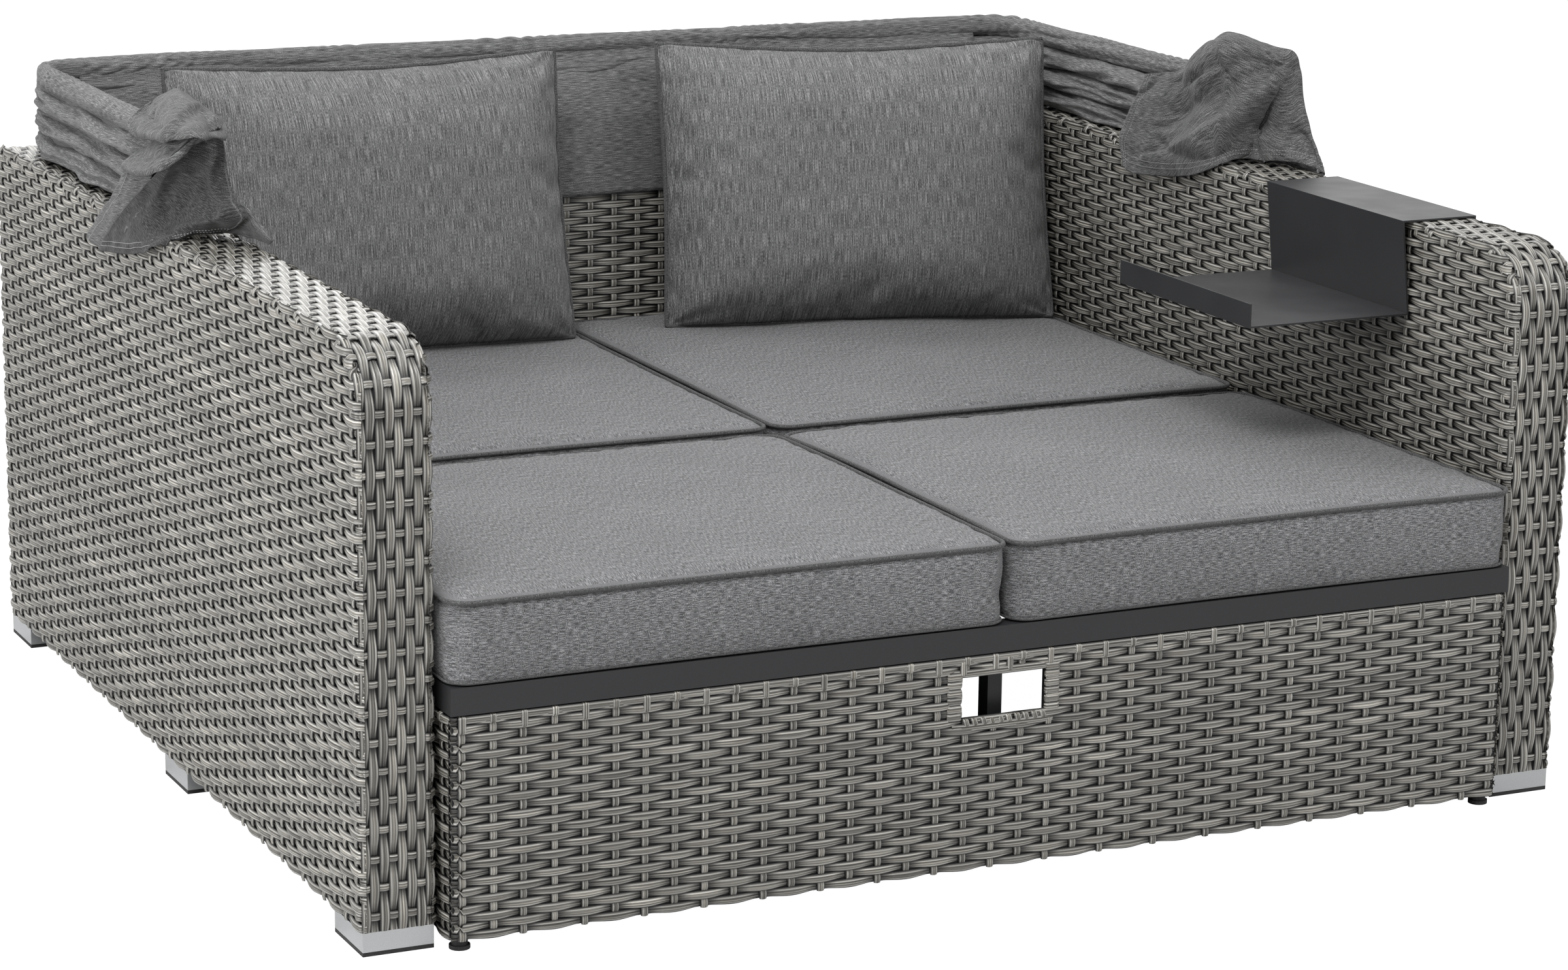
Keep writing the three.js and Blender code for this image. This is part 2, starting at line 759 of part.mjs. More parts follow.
// The line of a hoop in its own plane: out along one arm, across the back and down the other arm
function hoopLine(start, legs, crosses) {
  const legEnd = hoopRear - hoopCornerRadius;
  const cornerX = armMiddle - hoopCornerRadius;
  const points = [];
  for (let i = 0; i < legs; i += 1) points.push([armMiddle, start + ((legEnd - start) * i) / legs]);
  for (let i = 0; i <= arcSteps; i += 1) {
    const angle = ((Math.PI / 2) * i) / arcSteps;
    const x = cornerX + hoopCornerRadius * Math.cos(angle);
    points.push([x, legEnd + hoopCornerRadius * Math.sin(angle)]);
  }
  for (let i = 1; i * 2 < crosses; i += 1) points.push([cornerX * (1 - (2 * i) / crosses), hoopRear]);
  const mirrored = points.map(([x, y]) => [-x, y]).reverse();
  return [...points, ...mirrored].map(([x, y]) => new THREE.Vector3(x, y, 0));
}

// Rings round a hoop's line, whose half width and half height a function gives for each ring
function ringsAlong(line, height, count, size) {
  return line.map((point, i) => {
    const before = line[Math.max(i - 1, 0)];
    const after = line[Math.min(i + 1, line.length - 1)];
    const along = new THREE.Vector3().subVectors(after, before).normalize();
    const across = new THREE.Vector3(along.y, -along.x, 0);
    const [halfWidth, halfHeight, power] = size(i);
    const reach = Math.cos(Math.PI / count) ** power;
    const ring = [];
    for (let j = 0; j < count; j += 1) {
      const angle = (2 * Math.PI * (j + 1 / 2)) / count;
      const c = Math.cos(angle);
      const s = Math.sin(angle);
      const wide = (halfWidth / reach) * Math.sign(c) * Math.abs(c) ** power;
      const high = (halfHeight / reach) * Math.sign(s) * Math.abs(s) ** power;
      const spot = point.clone().addScaledVector(across, wide);
      ring.push(spot.setZ(height + high));
    }
    return ring;
  });
}

// A flat end plate from the pivot to a hoop's tube, in its own layer of the stack
function hoopEndPlate(sign, layer, height) {
  const step = endPlate + endPlateGap;
  const layerX = armMiddle + (layer - (hoopCount - 1) / 2) * step;
  const oneX = sign * (layerX - endPlate / 2);
  const otherX = sign * (layerX + endPlate / 2);
  const farY = pivotY + tubeStart + plateOverlap / 2;
  const lean = Math.atan2(height - pivotZ, farY - pivotY);
  const farRadius = hoopTubeRadius - restGap;
  const shape = new THREE.Shape();
  shape.absarc(pivotY, pivotZ, endPlateRadius, lean + Math.PI / 2, lean + (Math.PI * 3) / 2, false);
  shape.absarc(farY, height, farRadius, lean - Math.PI / 2, lean + Math.PI / 2, false);
  shape.closePath();
  const hole = new THREE.Path();
  hole.absarc(pivotY, pivotZ, pivotHoleRadius, 0, Math.PI * 2, true);
  shape.holes.push(hole);
  return alongX(shape, oneX, otherX);
}

function hoop(layer) {
  const height = lowestSleeve + layer * sleevePitch;
  const line = hoopLine(pivotY + tubeStart, 1, 0);
  const tube = loft(ringsAlong(line, height, hoopSides, () => [hoopTubeRadius, hoopTubeRadius, 1]));
  return join(tube, hoopEndPlate(-1, layer, height), hoopEndPlate(1, layer, height));
}

// The cloth casing round a hoop, gathered into ruffles, with its bore for the tube
function sleeve(layer) {
  const height = lowestSleeve + layer * sleevePitch;
  const line = hoopLine(pivotY + sleeveStart, legSteps, crossSteps);
  const size = (i) => {
    const ruffle = i % 2 === 0 ? 0 : sleeveRuffle;
    return [sleeveWidth / 2 - 2 * ruffle, sleeveHeight / 2 - ruffle, 2 / 3];
  };
  const outer = loft(ringsAlong(line, height, hoopSides, size));
  const boreLine = hoopLine(pivotY + sleeveStart - overrun, 1, 0);
  const bore = loft(ringsAlong(boreLine, height, boreSides, () => [boreRadius, boreRadius, 1]));
  return cut(outer, bore);
}

const hoopNames = ["base", "rear", "middle", "front"];
hoopNames.forEach((name, layer) => {
  place(`canopy_hoop_${name}`, hoop(layer), anthracite);
  place(`canopy_sleeve_${name}`, sleeve(layer), fabricFinish);
});

// Brackets on the arms, with the pivot bolt, its nut and the screws
const stackHalf = (hoopCount * endPlate + (hoopCount + 1) * endPlateGap) / 2;

function bracket(sign) {
  const lowX = sign * armMiddle - bracketWidth / 2;
  const highX = sign * armMiddle + bracketWidth / 2;
  const lowY = pivotY - bracketLength / 2;
  const highY = pivotY + bracketLength / 2;
  const low = armTop + restGap;
  const base = block(lowX, highX, lowY, highY, low, low + bracketPlate);
  const ear = new THREE.Shape();
  ear.moveTo(pivotY - earRadius, low);
  ear.lineTo(pivotY + earRadius, low);
  ear.absarc(pivotY, pivotZ, earRadius, 0, Math.PI, false);
  ear.closePath();
  const hole = new THREE.Path();
  hole.absarc(pivotY, pivotZ, pivotHoleRadius, 0, Math.PI * 2, true);
  ear.holes.push(hole);
  const ears = [-1, 1].map((face) => {
    const oneX = sign * armMiddle + face * stackHalf;
    return alongX(ear, oneX, oneX + face * bracketPlate);
  });
  return cut(join(base, ...ears), ...screwHoles(sign));
}

const boltFace = stackHalf + bracketPlate + restGap;

function pivotBolt(sign) {
  const at = (offset) => new THREE.Vector3(sign * (armMiddle + offset), pivotY, pivotZ);
  const head = rod(pivotHeadRadius, at(-boltFace - pivotHeadHeight), at(-boltFace), boreSides);
  const shank = rod(pivotBoltRadius, at(-boltFace - pivotHeadHeight / 2), at(boltFace + pivotNutHeight));
  return join(head, shank);
}

function pivotNut(sign) {
  const at = (offset) => new THREE.Vector3(sign * (armMiddle + offset), pivotY, pivotZ);
  const nut = rod(pivotHeadRadius, at(boltFace), at(boltFace + pivotNutHeight), boreSides);
  const hole = rod(pivotBoltRadius + restGap, at(boltFace - overrun), at(boltFace + overrun));
  return cut(nut, hole);
}

function bracketScrew(sign, y) {
  const seat = armTop + restGap + bracketPlate + restGap;
  const at = (z) => new THREE.Vector3(sign * armMiddle, y, z);
  const head = rod(screwHead, at(seat), at(seat + screwHeadHeight), hoopSides);
  const shank = rod(screwRadius, at(armTop - screwLength), at(seat + screwHeadHeight / 2), hoopSides);
  return join(head, shank);
}

sides.forEach(({ name, sign }) => {
  place(`canopy_bracket_${name}`, bracket(sign), anthracite);
  place(`canopy_bolt_${name}`, pivotBolt(sign), steel);
  place(`canopy_nut_${name}`, pivotNut(sign), steel);
  place(`bracket_screw_${name}_front`, bracketScrew(sign, screwRows[0]), steel);
  place(`bracket_screw_${name}_rear`, bracketScrew(sign, screwRows[1]), steel);
});

// Cloth draped over an arm where the hoops pivot: rings across the arm, from its front end to the hoops
function flap(sign, front, shares) {
  const innerHalf = armThickness / 2 + clothStandOff;
  const rings = shares.map(([share, crestShare, outerShare, innerShare]) => {
    const y = front + (flapRear - front) * share;
    const crest = crestShare * flapCrest;
    const outerHem = armTop - flapLeastDrop - flapDrop * outerShare;
    const innerHem = armTop - flapLeastDrop - flapDrop * innerShare;
    const over = (half, height) =>
      flapOutlineShares.map(([wide, tall]) => [half * wide, armTop + height * tall]);
    const outside = over(innerHalf + clothThickness, crest);
    const inside = over(innerHalf, crest - clothThickness);
    outside.unshift([innerHalf + clothThickness + flapSwell, outerHem]);
    inside.unshift([innerHalf + flapSwell, outerHem]);
    outside.push([-innerHalf - clothThickness, innerHem]);
    inside.push([-innerHalf, innerHem]);
    const outline = [...outside, ...inside.reverse()];
    return outline.map(([across, z]) => new THREE.Vector3(sign * (armMiddle + across), y, z));
  });
  return loft(rings);
}

place("canopy_flap_left", flap(-1, overallDepth * leftFlapFrontShare, leftFlapShares), fabricFinish);
place("canopy_flap_right", flap(1, overallDepth * rightFlapFrontShare, rightFlapShares), fabricFinish);

// The valance: it hangs from the front sleeve, over the edge of the back and down its inner face
function valance() {
  const half = armInner - valanceEnd;
  const sleeveFace = hoopRear - sleeveWidth / 2 - restGap;
  const backFace = backInner - restGap;
  const topZ = lowestSleeve + (hoopCount - 1) * sleevePitch;
  const rear = [
    [sleeveFace, topZ, 0],
    [sleeveFace, armTop + sleeveHeight, 0],
    [backFace, armTop, 0],
    [backFace, (armTop + valanceHem) / 2, 1 / 2],
    [backFace, valanceHem, 1],
  ];
  const front = rear.map(([y, z, fold]) => [y - valanceThickness, z, fold]).reverse();
  const outline = [...rear, ...front];
  const rings = [];
  for (let i = 0; i <= valanceSteps; i += 1) {
    const share = i / valanceSteps;
    const wave = (1 - Math.cos(2 * Math.PI * valanceFolds * share)) / 2;
    const x = -half + 2 * half * share;
    rings.push(outline.map(([y, z, fold]) => new THREE.Vector3(x, y - fold * wave * valanceFold, z)));
  }
  return loft(rings);
}

place("canopy_valance", valance(), fabricFinish);

// The side tray: one bent sheet that hooks over the right arm
function sheetShape(line, thickness) {
  const points = line.map(([x, z]) => new THREE.Vector2(x, z));
  const offset = (distance) =>
    points.map((point, i) => {
      const before = points[Math.max(i - 1, 0)];
      const after = points[Math.min(i + 1, points.length - 1)];
      const incoming = i === 0 ? after.clone().sub(point) : point.clone().sub(before);
      const outgoing = i === points.length - 1 ? incoming.clone() : after.clone().sub(point);
      const inNormal = new THREE.Vector2(-incoming.y, incoming.x).normalize();
      const outNormal = new THREE.Vector2(-outgoing.y, outgoing.x).normalize();
      const middle = inNormal.clone().add(outNormal).normalize();
      return point.clone().addScaledVector(middle, distance / middle.dot(inNormal));
    });
  return new THREE.Shape([...offset(thickness / 2), ...offset(-thickness / 2).reverse()]);
}

function tray() {
  const half = trayThickness / 2;
  const topZ = armTop + restGap + half;
  const flangeX = overallWidth / 2 + restGap + half;
  const line = [
    [flangeX, topZ - trayFlange],
    [flangeX, topZ],
    [trayTopInner, topZ],
    [trayWallFoot, trayShelfHeight],
    [trayShelfEnd, trayShelfHeight],
    [trayShelfEnd, trayShelfHeight + trayLip],
  ];
  return alongY(sheetShape(line, trayThickness), trayFront, trayRear);
}

place("side_tray", tray(), anthracite);

// The floor point under the middle of the whole is the origin
daybed.position.y = -(overallDepth + seatFront) / 2;

export default daybed;
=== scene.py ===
"""Looks of an outdoor daybed with a fold-back canopy: woven strands, seat cushions and pillows with piping,
gathered canopy cloth, metal parts, materials, light and camera. Metres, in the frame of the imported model."""

import math

import bpy
import numpy as np
from mathutils import Matrix, Vector


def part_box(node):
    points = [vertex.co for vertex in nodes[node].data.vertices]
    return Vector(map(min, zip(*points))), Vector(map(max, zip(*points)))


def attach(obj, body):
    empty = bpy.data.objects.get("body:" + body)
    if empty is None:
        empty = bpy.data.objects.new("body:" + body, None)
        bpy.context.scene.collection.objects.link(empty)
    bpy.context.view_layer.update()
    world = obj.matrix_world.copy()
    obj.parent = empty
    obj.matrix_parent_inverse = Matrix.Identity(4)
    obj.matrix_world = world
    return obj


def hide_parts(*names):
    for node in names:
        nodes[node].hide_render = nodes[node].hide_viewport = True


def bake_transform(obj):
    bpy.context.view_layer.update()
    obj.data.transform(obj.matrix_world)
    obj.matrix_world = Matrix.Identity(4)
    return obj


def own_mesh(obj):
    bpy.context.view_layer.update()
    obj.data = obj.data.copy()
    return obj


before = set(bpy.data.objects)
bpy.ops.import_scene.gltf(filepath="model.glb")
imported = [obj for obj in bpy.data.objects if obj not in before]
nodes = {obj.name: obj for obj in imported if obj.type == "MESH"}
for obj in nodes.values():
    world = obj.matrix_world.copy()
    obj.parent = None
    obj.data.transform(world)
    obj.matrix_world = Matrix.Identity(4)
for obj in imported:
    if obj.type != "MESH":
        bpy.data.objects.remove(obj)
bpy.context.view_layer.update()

MM = 0.001

# Places of the woven parts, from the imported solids
ARM_LOW, ARM_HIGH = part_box("right_arm_weave")
BACK_LOW, BACK_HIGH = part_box("back_weave")
APRON_LOW, APRON_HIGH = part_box("bench_apron_weave")
FRONT = ARM_LOW.y
REAR = ARM_HIGH.y
TOP = ARM_HIGH.z
BOTTOM = ARM_LOW.z
ARM_INNER = ARM_LOW.x
ARM_OUTER = ARM_HIGH.x
ARM_MIDDLE = (ARM_INNER + ARM_OUTER) / 2
ARM_FRONT_RADIUS = 80 * MM
ARM_REAR_RADIUS = 25 * MM

# Woven strands
WEFT_PITCH = 11.3 * MM
WARP_PITCH = 39.5 * MM
CROSS_PITCH = 36 * MM
BAND_STRANDS = 8
STRAND_WIDTH = 10.6 * MM
WARP_WIDTH = 10.2 * MM
STRAND_THICKNESS = 2.0 * MM
WEFT_WAVE = 2.6 * MM
WARP_WAVE = 1.2 * MM
CROSS_WAVE = 1.6 * MM
SURFACE_INSET = 3.4 * MM
SIDE_INSET = 2.2 * MM
CORE_INSET = 6.2 * MM
EDGE_RADIUS = 6 * MM
EDGE_TURN = 12 * MM
TURN_RISE = 1.4 * MM
TUCK_LENGTH = 7 * MM
TUCK_DEPTH = 5 * MM
WAVE_STEPS = 6
WARP_STEPS = 3
WIDTH_SWELL = 0.13
WIDTH_JITTER = 0.03
SHIFT_JITTER = 0.3 * MM
BAND_STRAND_WIDTH = 1.04 * STRAND_WIDTH
PATH_STEP = 2 * MM
ARC_STEPS = 6
PROFILE_ACROSS = np.array([-0.5, -0.33, 0.0, 0.33, 0.5])
PROFILE_RISE = np.array([-0.7, 0.14, 0.5, 0.14, -0.7])
WEAVE_SEED = 11

# Where the flat of a band starts on its bend: half a turn's arc replaces a square corner
EDGE_START = EDGE_TURN + EDGE_RADIUS * (math.pi / 2 - 1)

# How far apart in the streaks two strands may be, and the part of its cell that a strand's bake fills
STREAK_SPREAD = 7
BAKE_ALONG = (0.002, 0.998)
BAKE_ACROSS = (0.08, 0.92)

# Left, right, lower and upper edge of the bench's handle slot
HANDLE_SLOT = (-66 * MM, 53 * MM, 212 * MM, 268 * MM)


# Meshes

def mesh_piece(name, points, faces, material):
    """A flat-shaded mesh object from lists of points and faces."""
    mesh = bpy.data.meshes.new(name)
    mesh.from_pydata([tuple(p) for p in points], [], [tuple(int(i) for i in f) for f in faces])
    piece = bpy.data.objects.new(name, mesh)
    bpy.context.scene.collection.objects.link(piece)
    mesh.materials.append(material)
    return piece


def quad_mesh(name, points, quads, material):
    """A smooth quad mesh straight from numpy arrays, which is quick for large weaves."""
    mesh = bpy.data.meshes.new(name)
    mesh.vertices.add(len(points))
    mesh.vertices.foreach_set("co", points.astype(np.float32).ravel())
    mesh.loops.add(quads.size)
    mesh.loops.foreach_set("vertex_index", quads.astype(np.int32).ravel())
    mesh.polygons.add(len(quads))
    mesh.polygons.foreach_set("loop_start", np.arange(0, quads.size, 4, dtype=np.int32))
    mesh.polygons.foreach_set("loop_total", np.full(len(quads), 4, dtype=np.int32))
    mesh.update(calc_edges=True)
    mesh.shade_smooth()
    mesh.materials.append(material)
    piece = bpy.data.objects.new(name, mesh)
    bpy.context.scene.collection.objects.link(piece)
    return piece


# Weaving: a chart turns places on a woven surface into points in space

def unit(vectors):
    """Vectors scaled to length one."""
    return vectors / np.maximum(np.linalg.norm(vectors, axis=-1, keepdims=True), 1e-9)


def path_of(corners):
    """Points every few millimetres along a line with rounded corners, with their outward directions.
    corners are (place, radius) from one end to the other."""
    places = [np.array(place, float) for place, _ in corners]
    points, outs = [], []
    start = places[0]
    for index, (_, radius) in enumerate(corners[1:], 1):
        place = places[index]
        end = place + unit(places[index - 1] - place) * radius
        run = end - start
        length = np.linalg.norm(run)
        count = max(2, int(length / PATH_STEP))
        points += [start + run * share for share in np.linspace(0, 1, count)]
        outs += [np.array([-run[1], run[0]]) / length] * count
        if not radius:
            continue
        ahead = unit(places[index + 1] - place) * radius
        start, centre = place + ahead, end + ahead
        first, last = end - centre, start - centre
        reach = np.linalg.norm(first)
        a, b = math.atan2(first[1], first[0]), math.atan2(last[1], last[0])
        turn = (b - a + math.pi) % (2 * math.pi) - math.pi
        for share in np.linspace(0, 1, max(ARC_STEPS, int(abs(turn) * reach / PATH_STEP))):
            direction = np.array([math.cos(a + turn * share), math.sin(a + turn * share)])
            points.append(centre + direction * reach)
            outs.append(direction)
    points, outs = np.array(points), np.array(outs)
    lengths = np.concatenate([[0], np.cumsum(np.linalg.norm(np.diff(points, axis=0), axis=1))])
    keep = np.concatenate([[True], np.diff(lengths) > 1e-9])
    return lengths[keep], points[keep], outs[keep]


def line_path(start, end):
    """A straight path between two places along one axis."""
    return path_of([((start, 0), 0), ((end, 0), 0)])


def along(path, s):
    """Point and outward direction of a path at the lengths s."""
    lengths, points, outs = path
    return [np.interp(s.ravel(), lengths, column).reshape(s.shape) for column in (*points.T, *outs.T)]


def strip_chart(path, place, bend):
    """A surface along a path, bent over at its two long edges. place puts (u, v, side) into space."""
    def chart(s, t, h):
        u, v, out_u, out_v = along(path, s)
        side, drop, lean_side, lean_out = along(bend, t)
        rise = lean_out * h + drop
        return place(u + out_u * rise, v + out_v * rise, side + lean_side * h)
    return chart


def edge_bend(width):
    """How a strip of that width bends over at both edges: side, rise, and the outward direction in both."""
    half, low = width / 2, -EDGE_TURN - EDGE_RADIUS
    return path_of([((-half, low), 0), ((-half, 0), EDGE_RADIUS), ((half, 0), EDGE_RADIUS), ((half, low), 0)])


def ribbons(centres, outs, width, seed):
    """Strands along rows of centres (strands, steps, 3), flat side facing outs.
    Returns points, quads, each point's place in the streaks, and the grid of point numbers."""
    rng = np.random.default_rng(seed)
    strands, steps, _ = centres.shape
    count = len(PROFILE_ACROSS)
    ahead = unit(np.gradient(centres, axis=1))
    side = unit(np.cross(ahead, outs))
    up = unit(np.cross(side, ahead))
    swell = width * (1 + WIDTH_JITTER * rng.standard_normal((strands, 1)))
    offset = PROFILE_ACROSS * swell[..., None] + SHIFT_JITTER * rng.standard_normal((strands, 1, 1))
    rise = np.broadcast_to(PROFILE_RISE * STRAND_THICKNESS, offset.shape)
    points = centres[:, :, None] + side[:, :, None] * offset[..., None] + up[:, :, None] * rise[..., None]
    grid = np.arange(strands * steps * count).reshape(strands, steps, count)
    quads = np.stack([grid[:, :-1, :-1], grid[:, 1:, :-1], grid[:, 1:, 1:], grid[:, :-1, 1:]], axis=-1)
    lengths = np.cumsum(np.linalg.norm(np.diff(centres, axis=1, prepend=centres[:, :1]), axis=-1), axis=1)
    ids = rng.random(strands)
    data = np.zeros((strands, steps, count, 3), np.float32)
    data[..., 0] = lengths[..., None] + STREAK_SPREAD * ids[:, None, None]
    data[..., 1] = 2 * PROFILE_ACROSS
    data[..., 2] = ids[:, None, None]
    return points.reshape(-1, 3), quads, data.reshape(-1, 3), grid


class Weave:
    """Collects ribbons and makes them one piece."""

    def __init__(self, name):
        self.name = name
        self.points, self.quads, self.data, self.lifts = [], [], [], []
        self.total = 0

    def strands(self, centres, outs, width, seed, keep=None, lift=None):
        """Adds strands along rows of centres. lift is 1 where they pass over the others and -1 under them."""
        points, quads, data, grid = ribbons(centres, outs, width, seed)
        lift = np.ones(centres.shape[:2]) if lift is None else lift
        self.lifts.append(np.repeat(lift.ravel(), len(PROFILE_ACROSS)))
        if keep is not None:
            quads = quads[keep[:, :-1] | keep[:, 1:]]
        strands, steps, count = grid.shape
        place = np.zeros((strands, steps, count, 2), np.float32)
        place[..., 0] = np.linspace(*BAKE_ALONG, steps)[None, :, None]
        place[..., 1] = np.arange(strands)[:, None, None] + np.linspace(*BAKE_ACROSS, count)[None, None, :]
        self.quads.append((quads.reshape(-1, 4) + self.total, place.reshape(-1, 2), strands))
        self.points.append(points)
        self.data.append(data)
        self.total += len(points)

    def add(self, chart, s, t, h, width, seed, keep=None, lift=None):
        """Adds strands along rows of places (strands, steps) of a chart."""
        centres = np.stack(chart(s, t, h), axis=-1)
        above = np.stack(chart(s, t, h + MM), axis=-1)
        self.strands(centres, unit(above - centres), width, seed, keep, lift)

    def piece(self, body):
        """Makes the mesh with the strands' data and their places in the bake."""
        points = np.concatenate(self.points)
        quads = np.concatenate([q for q, _, _ in self.quads])
        made = quad_mesh(self.name, points, quads, WEAVE)
        data = made.data.attributes.new("strand", "FLOAT_VECTOR", "POINT")
        data.data.foreach_set("vector", np.concatenate(self.data).ravel())
        lifts = made.data.attributes.new("lift", "FLOAT", "POINT")
        lifts.data.foreach_set("value", np.concatenate(self.lifts).astype(np.float32))
        rows = sum(strands for _, _, strands in self.quads)
        first, places = 0, []
        for _, place, strands in self.quads:
            moved = place.copy()
            moved[:, 1] = (moved[:, 1] + first) / rows
            places.append(moved)
            first += strands
        layer = made.data.uv_layers.new(name="OFBake")
        layer.data.foreach_set("uv", np.concatenate(places)[quads.ravel()].ravel())
        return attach(made, body)


def spread(low, high, steps, strands):
    """The same even places along each of some strands."""
    return np.linspace(low, high, steps)[None, :].repeat(strands, 0)


def levels(start, pitch, strands, steps):
    """One place for each of some strands, in the middle of its pitch, all along the strand."""
    return (start + (np.arange(strands) + 0.5) * pitch)[:, None].repeat(steps, 1)


def over_under(places, start, gap):
    """1 where a strand passes over the others and -1 under them, in turn from strand to strand."""
    strand = np.arange(len(places))[:, None]
    return np.cos(math.pi * ((places - start) / gap - 0.5 + strand))


def panel(weave, chart, s_range, t_range, seed, inside=None, drop=None):
    """A plain weave on a flat stretch: wefts along s, warps along t, over and under each other in turn."""
    rows = max(1, round((t_range[1] - t_range[0]) / WEFT_PITCH))
    pitch = (t_range[1] - t_range[0]) / rows
    columns = max(1, round((s_range[1] - s_range[0]) / WARP_PITCH))
    gap = (s_range[1] - s_range[0]) / columns
    def lay(s, t, over, wave, width, number):
        h = wave * over
        if drop is not None:
            h = h + drop(s, t)
        keep = None if inside is None else inside(s, t)
        weave.add(chart, s, t, h, width, number, keep, over)
    steps = columns * WAVE_STEPS + 1
    s, t = spread(*s_range, steps, rows), levels(t_range[0], pitch, rows, steps)
    over = over_under(s, s_range[0], gap)
    lay(s, t, over, WEFT_WAVE, STRAND_WIDTH * (pitch / WEFT_PITCH) * (1 + WIDTH_SWELL * over), seed)
    steps = rows * WARP_STEPS + 1
    s, t = levels(s_range[0], gap, columns, steps), spread(*t_range, steps, columns)
    over = -over_under(t, t_range[0], pitch)
    lay(s, t, over, WARP_WAVE, np.full(s.shape, WARP_WIDTH), seed + 1)


def band(weave, chart, length, width, seed):
    """A band of strands along an edge, crossed every few centimetres by strands that turn over its edges."""
    pitch = width / BAND_STRANDS
    crosses = round(length / CROSS_PITCH)
    gap = length / crosses
    steps = crosses * WAVE_STEPS + 1
    s, t = spread(0, length, steps, BAND_STRANDS), levels(EDGE_START, pitch, BAND_STRANDS, steps)
    over = over_under(s, 0, gap)
    weave.add(chart, s, t, WEFT_WAVE * over, BAND_STRAND_WIDTH * (1 + WIDTH_SWELL * over), seed, None, over)
    reach = EDGE_START + width + EDGE_START
    steps = WARP_STEPS * (BAND_STRANDS + 3)
    s, t = levels(0, gap, crosses, steps), spread(0, reach, steps, crosses)
    over = -over_under(t, EDGE_START, pitch)
    end = np.minimum(t, reach - t)
    turned = np.clip(1 - end / EDGE_START, 0, 1)
    tuck = np.clip(1 - end / TUCK_LENGTH, 0, 1) ** 2
    h = CROSS_WAVE * over * (1 - turned) + TURN_RISE * np.clip(3 * turned, 0, 1) - TUCK_DEPTH * tuck
    weave.add(chart, s, t, h, np.full(s.shape, WARP_WIDTH), seed + 1, None, np.maximum(over, 2 * turned - 1))


# Materials

def material_named(name):
    """A new node material, with its shader and links at hand."""
    material = bpy.data.materials.new(name)
    material.use_nodes = True
    tree = material.node_tree
    shader = tree.nodes["Principled BSDF"]
    return material, tree, shader


def node(tree, kind, **values):
    """A shader node with its inputs and settings filled in."""
    made = tree.nodes.new(kind)
    for key, value in values.items():
        if key in made.inputs:
            made.inputs[key].default_value = value
        else:
            setattr(made, key, value)
    return made


def ramp(tree, source, stops):
    """A colour ramp fed by a socket. stops are (place, grey or colour)."""
    stops = list(stops)
    made = tree.nodes.new("ShaderNodeValToRGB")
    elements = made.color_ramp.elements
    while len(elements) < len(stops):
        elements.new(0.5)
    for element, (place, colour) in zip(elements, stops):
        element.position = place
        element.color = (colour, colour, colour, 1) if isinstance(colour, float) else (*colour, 1)
    tree.links.new(source, made.inputs[0])
    return made.outputs[0]


def math_node(tree, operation, a, b=None):
    """A math node. a and b are sockets or numbers."""
    made = tree.nodes.new("ShaderNodeMath")
    made.operation = operation
    for index, value in enumerate((a, b)):
        if value is None:
            continue
        if isinstance(value, (int, float)):
            made.inputs[index].default_value = value
        else:
            tree.links.new(value, made.inputs[index])
    return made.outputs[0]


def mix_colour(tree, blend, share, a, b):
    """A mix of two colours. share, a and b are sockets or values."""
    made = tree.nodes.new("ShaderNodeMix")
    made.data_type = "RGBA"
    made.blend_type = blend
    for socket, value in ((made.inputs[0], share), (made.inputs[6], a), (made.inputs[7], b)):
        if isinstance(value, (int, float)):
            socket.default_value = value
        elif isinstance(value, tuple):
            socket.default_value = (*value, 1)
        else:
            tree.links.new(value, socket)
    return made.outputs[2]


def scaled(tree, vector, scale):
    """A vector times three factors."""
    made = tree.nodes.new("ShaderNodeVectorMath")
    made.operation = "MULTIPLY"
    tree.links.new(vector, made.inputs[0])
    made.inputs[1].default_value = scale
    return made.outputs[0]


def noise(tree, vector, scale, detail=2.0):
    """Noise over a vector socket."""
    made = node(tree, "ShaderNodeTexNoise", Scale=scale, Detail=detail)
    tree.links.new(vector, made.inputs["Vector"])
    return made.outputs[0]


def halved(tree, source):
    """A value between -1 and 1 moved to between 0 and 1."""
    made = math_node(tree, "MULTIPLY_ADD", source, 0.5)
    made.node.inputs[2].default_value = 0.5
    return made


def bumped(tree, shader, height, strength, distance):
    """Height as bumps of the shader's surface."""
    bump = node(tree, "ShaderNodeBump", Strength=strength, Distance=distance)
    tree.links.new(height, bump.inputs["Height"])
    tree.links.new(bump.outputs[0], shader.inputs["Normal"])


# Strands: scales along, across and between them, and noise detail
STRAND_STREAK = (5, 2.6, 400), 3.0
STRAND_FINE = (5, 8, 800), 2.0
STRAND_PATCH = (16, 0.5, 90), 1.0
STRAND_TONES = [(0.32, (0.092, 0.089, 0.078)), (0.5, (0.252, 0.24, 0.209)), (0.67, (0.58, 0.556, 0.49))]
STRAND_FINE_TONES = [(0.36, 0.35), (0.6, 1.0)]
STRAND_FINE_SHARE = 0.65
STRAND_PATCH_SHARES = [(0.5, 0.0), (0.72, 0.4)]
STRAND_PATCH_COLOUR = (0.16, 0.138, 0.11)
STRAND_BRIGHTNESS = [(0.0, 0.7), (0.5, 0.95), (1.0, 1.25)]
RIBS = 3
# Painted shade: the grooves between a strand's ribs are darkened in colour
RIB_GROOVE_SHADE_TONES = [(0.05, 0.25), (0.6, 1.0)]
RIB_GROOVE_SHADE_SHARE = 0.6
# Painted highlight: the strand edges are screened lighter, standing in for light caught along their rims
PAINTED_RIM_HIGHLIGHT_SHARES = [(0.34, 0.0), (0.57, 0.55)]
PAINTED_RIM_HIGHLIGHT_COLOUR = (0.5, 0.49, 0.46)
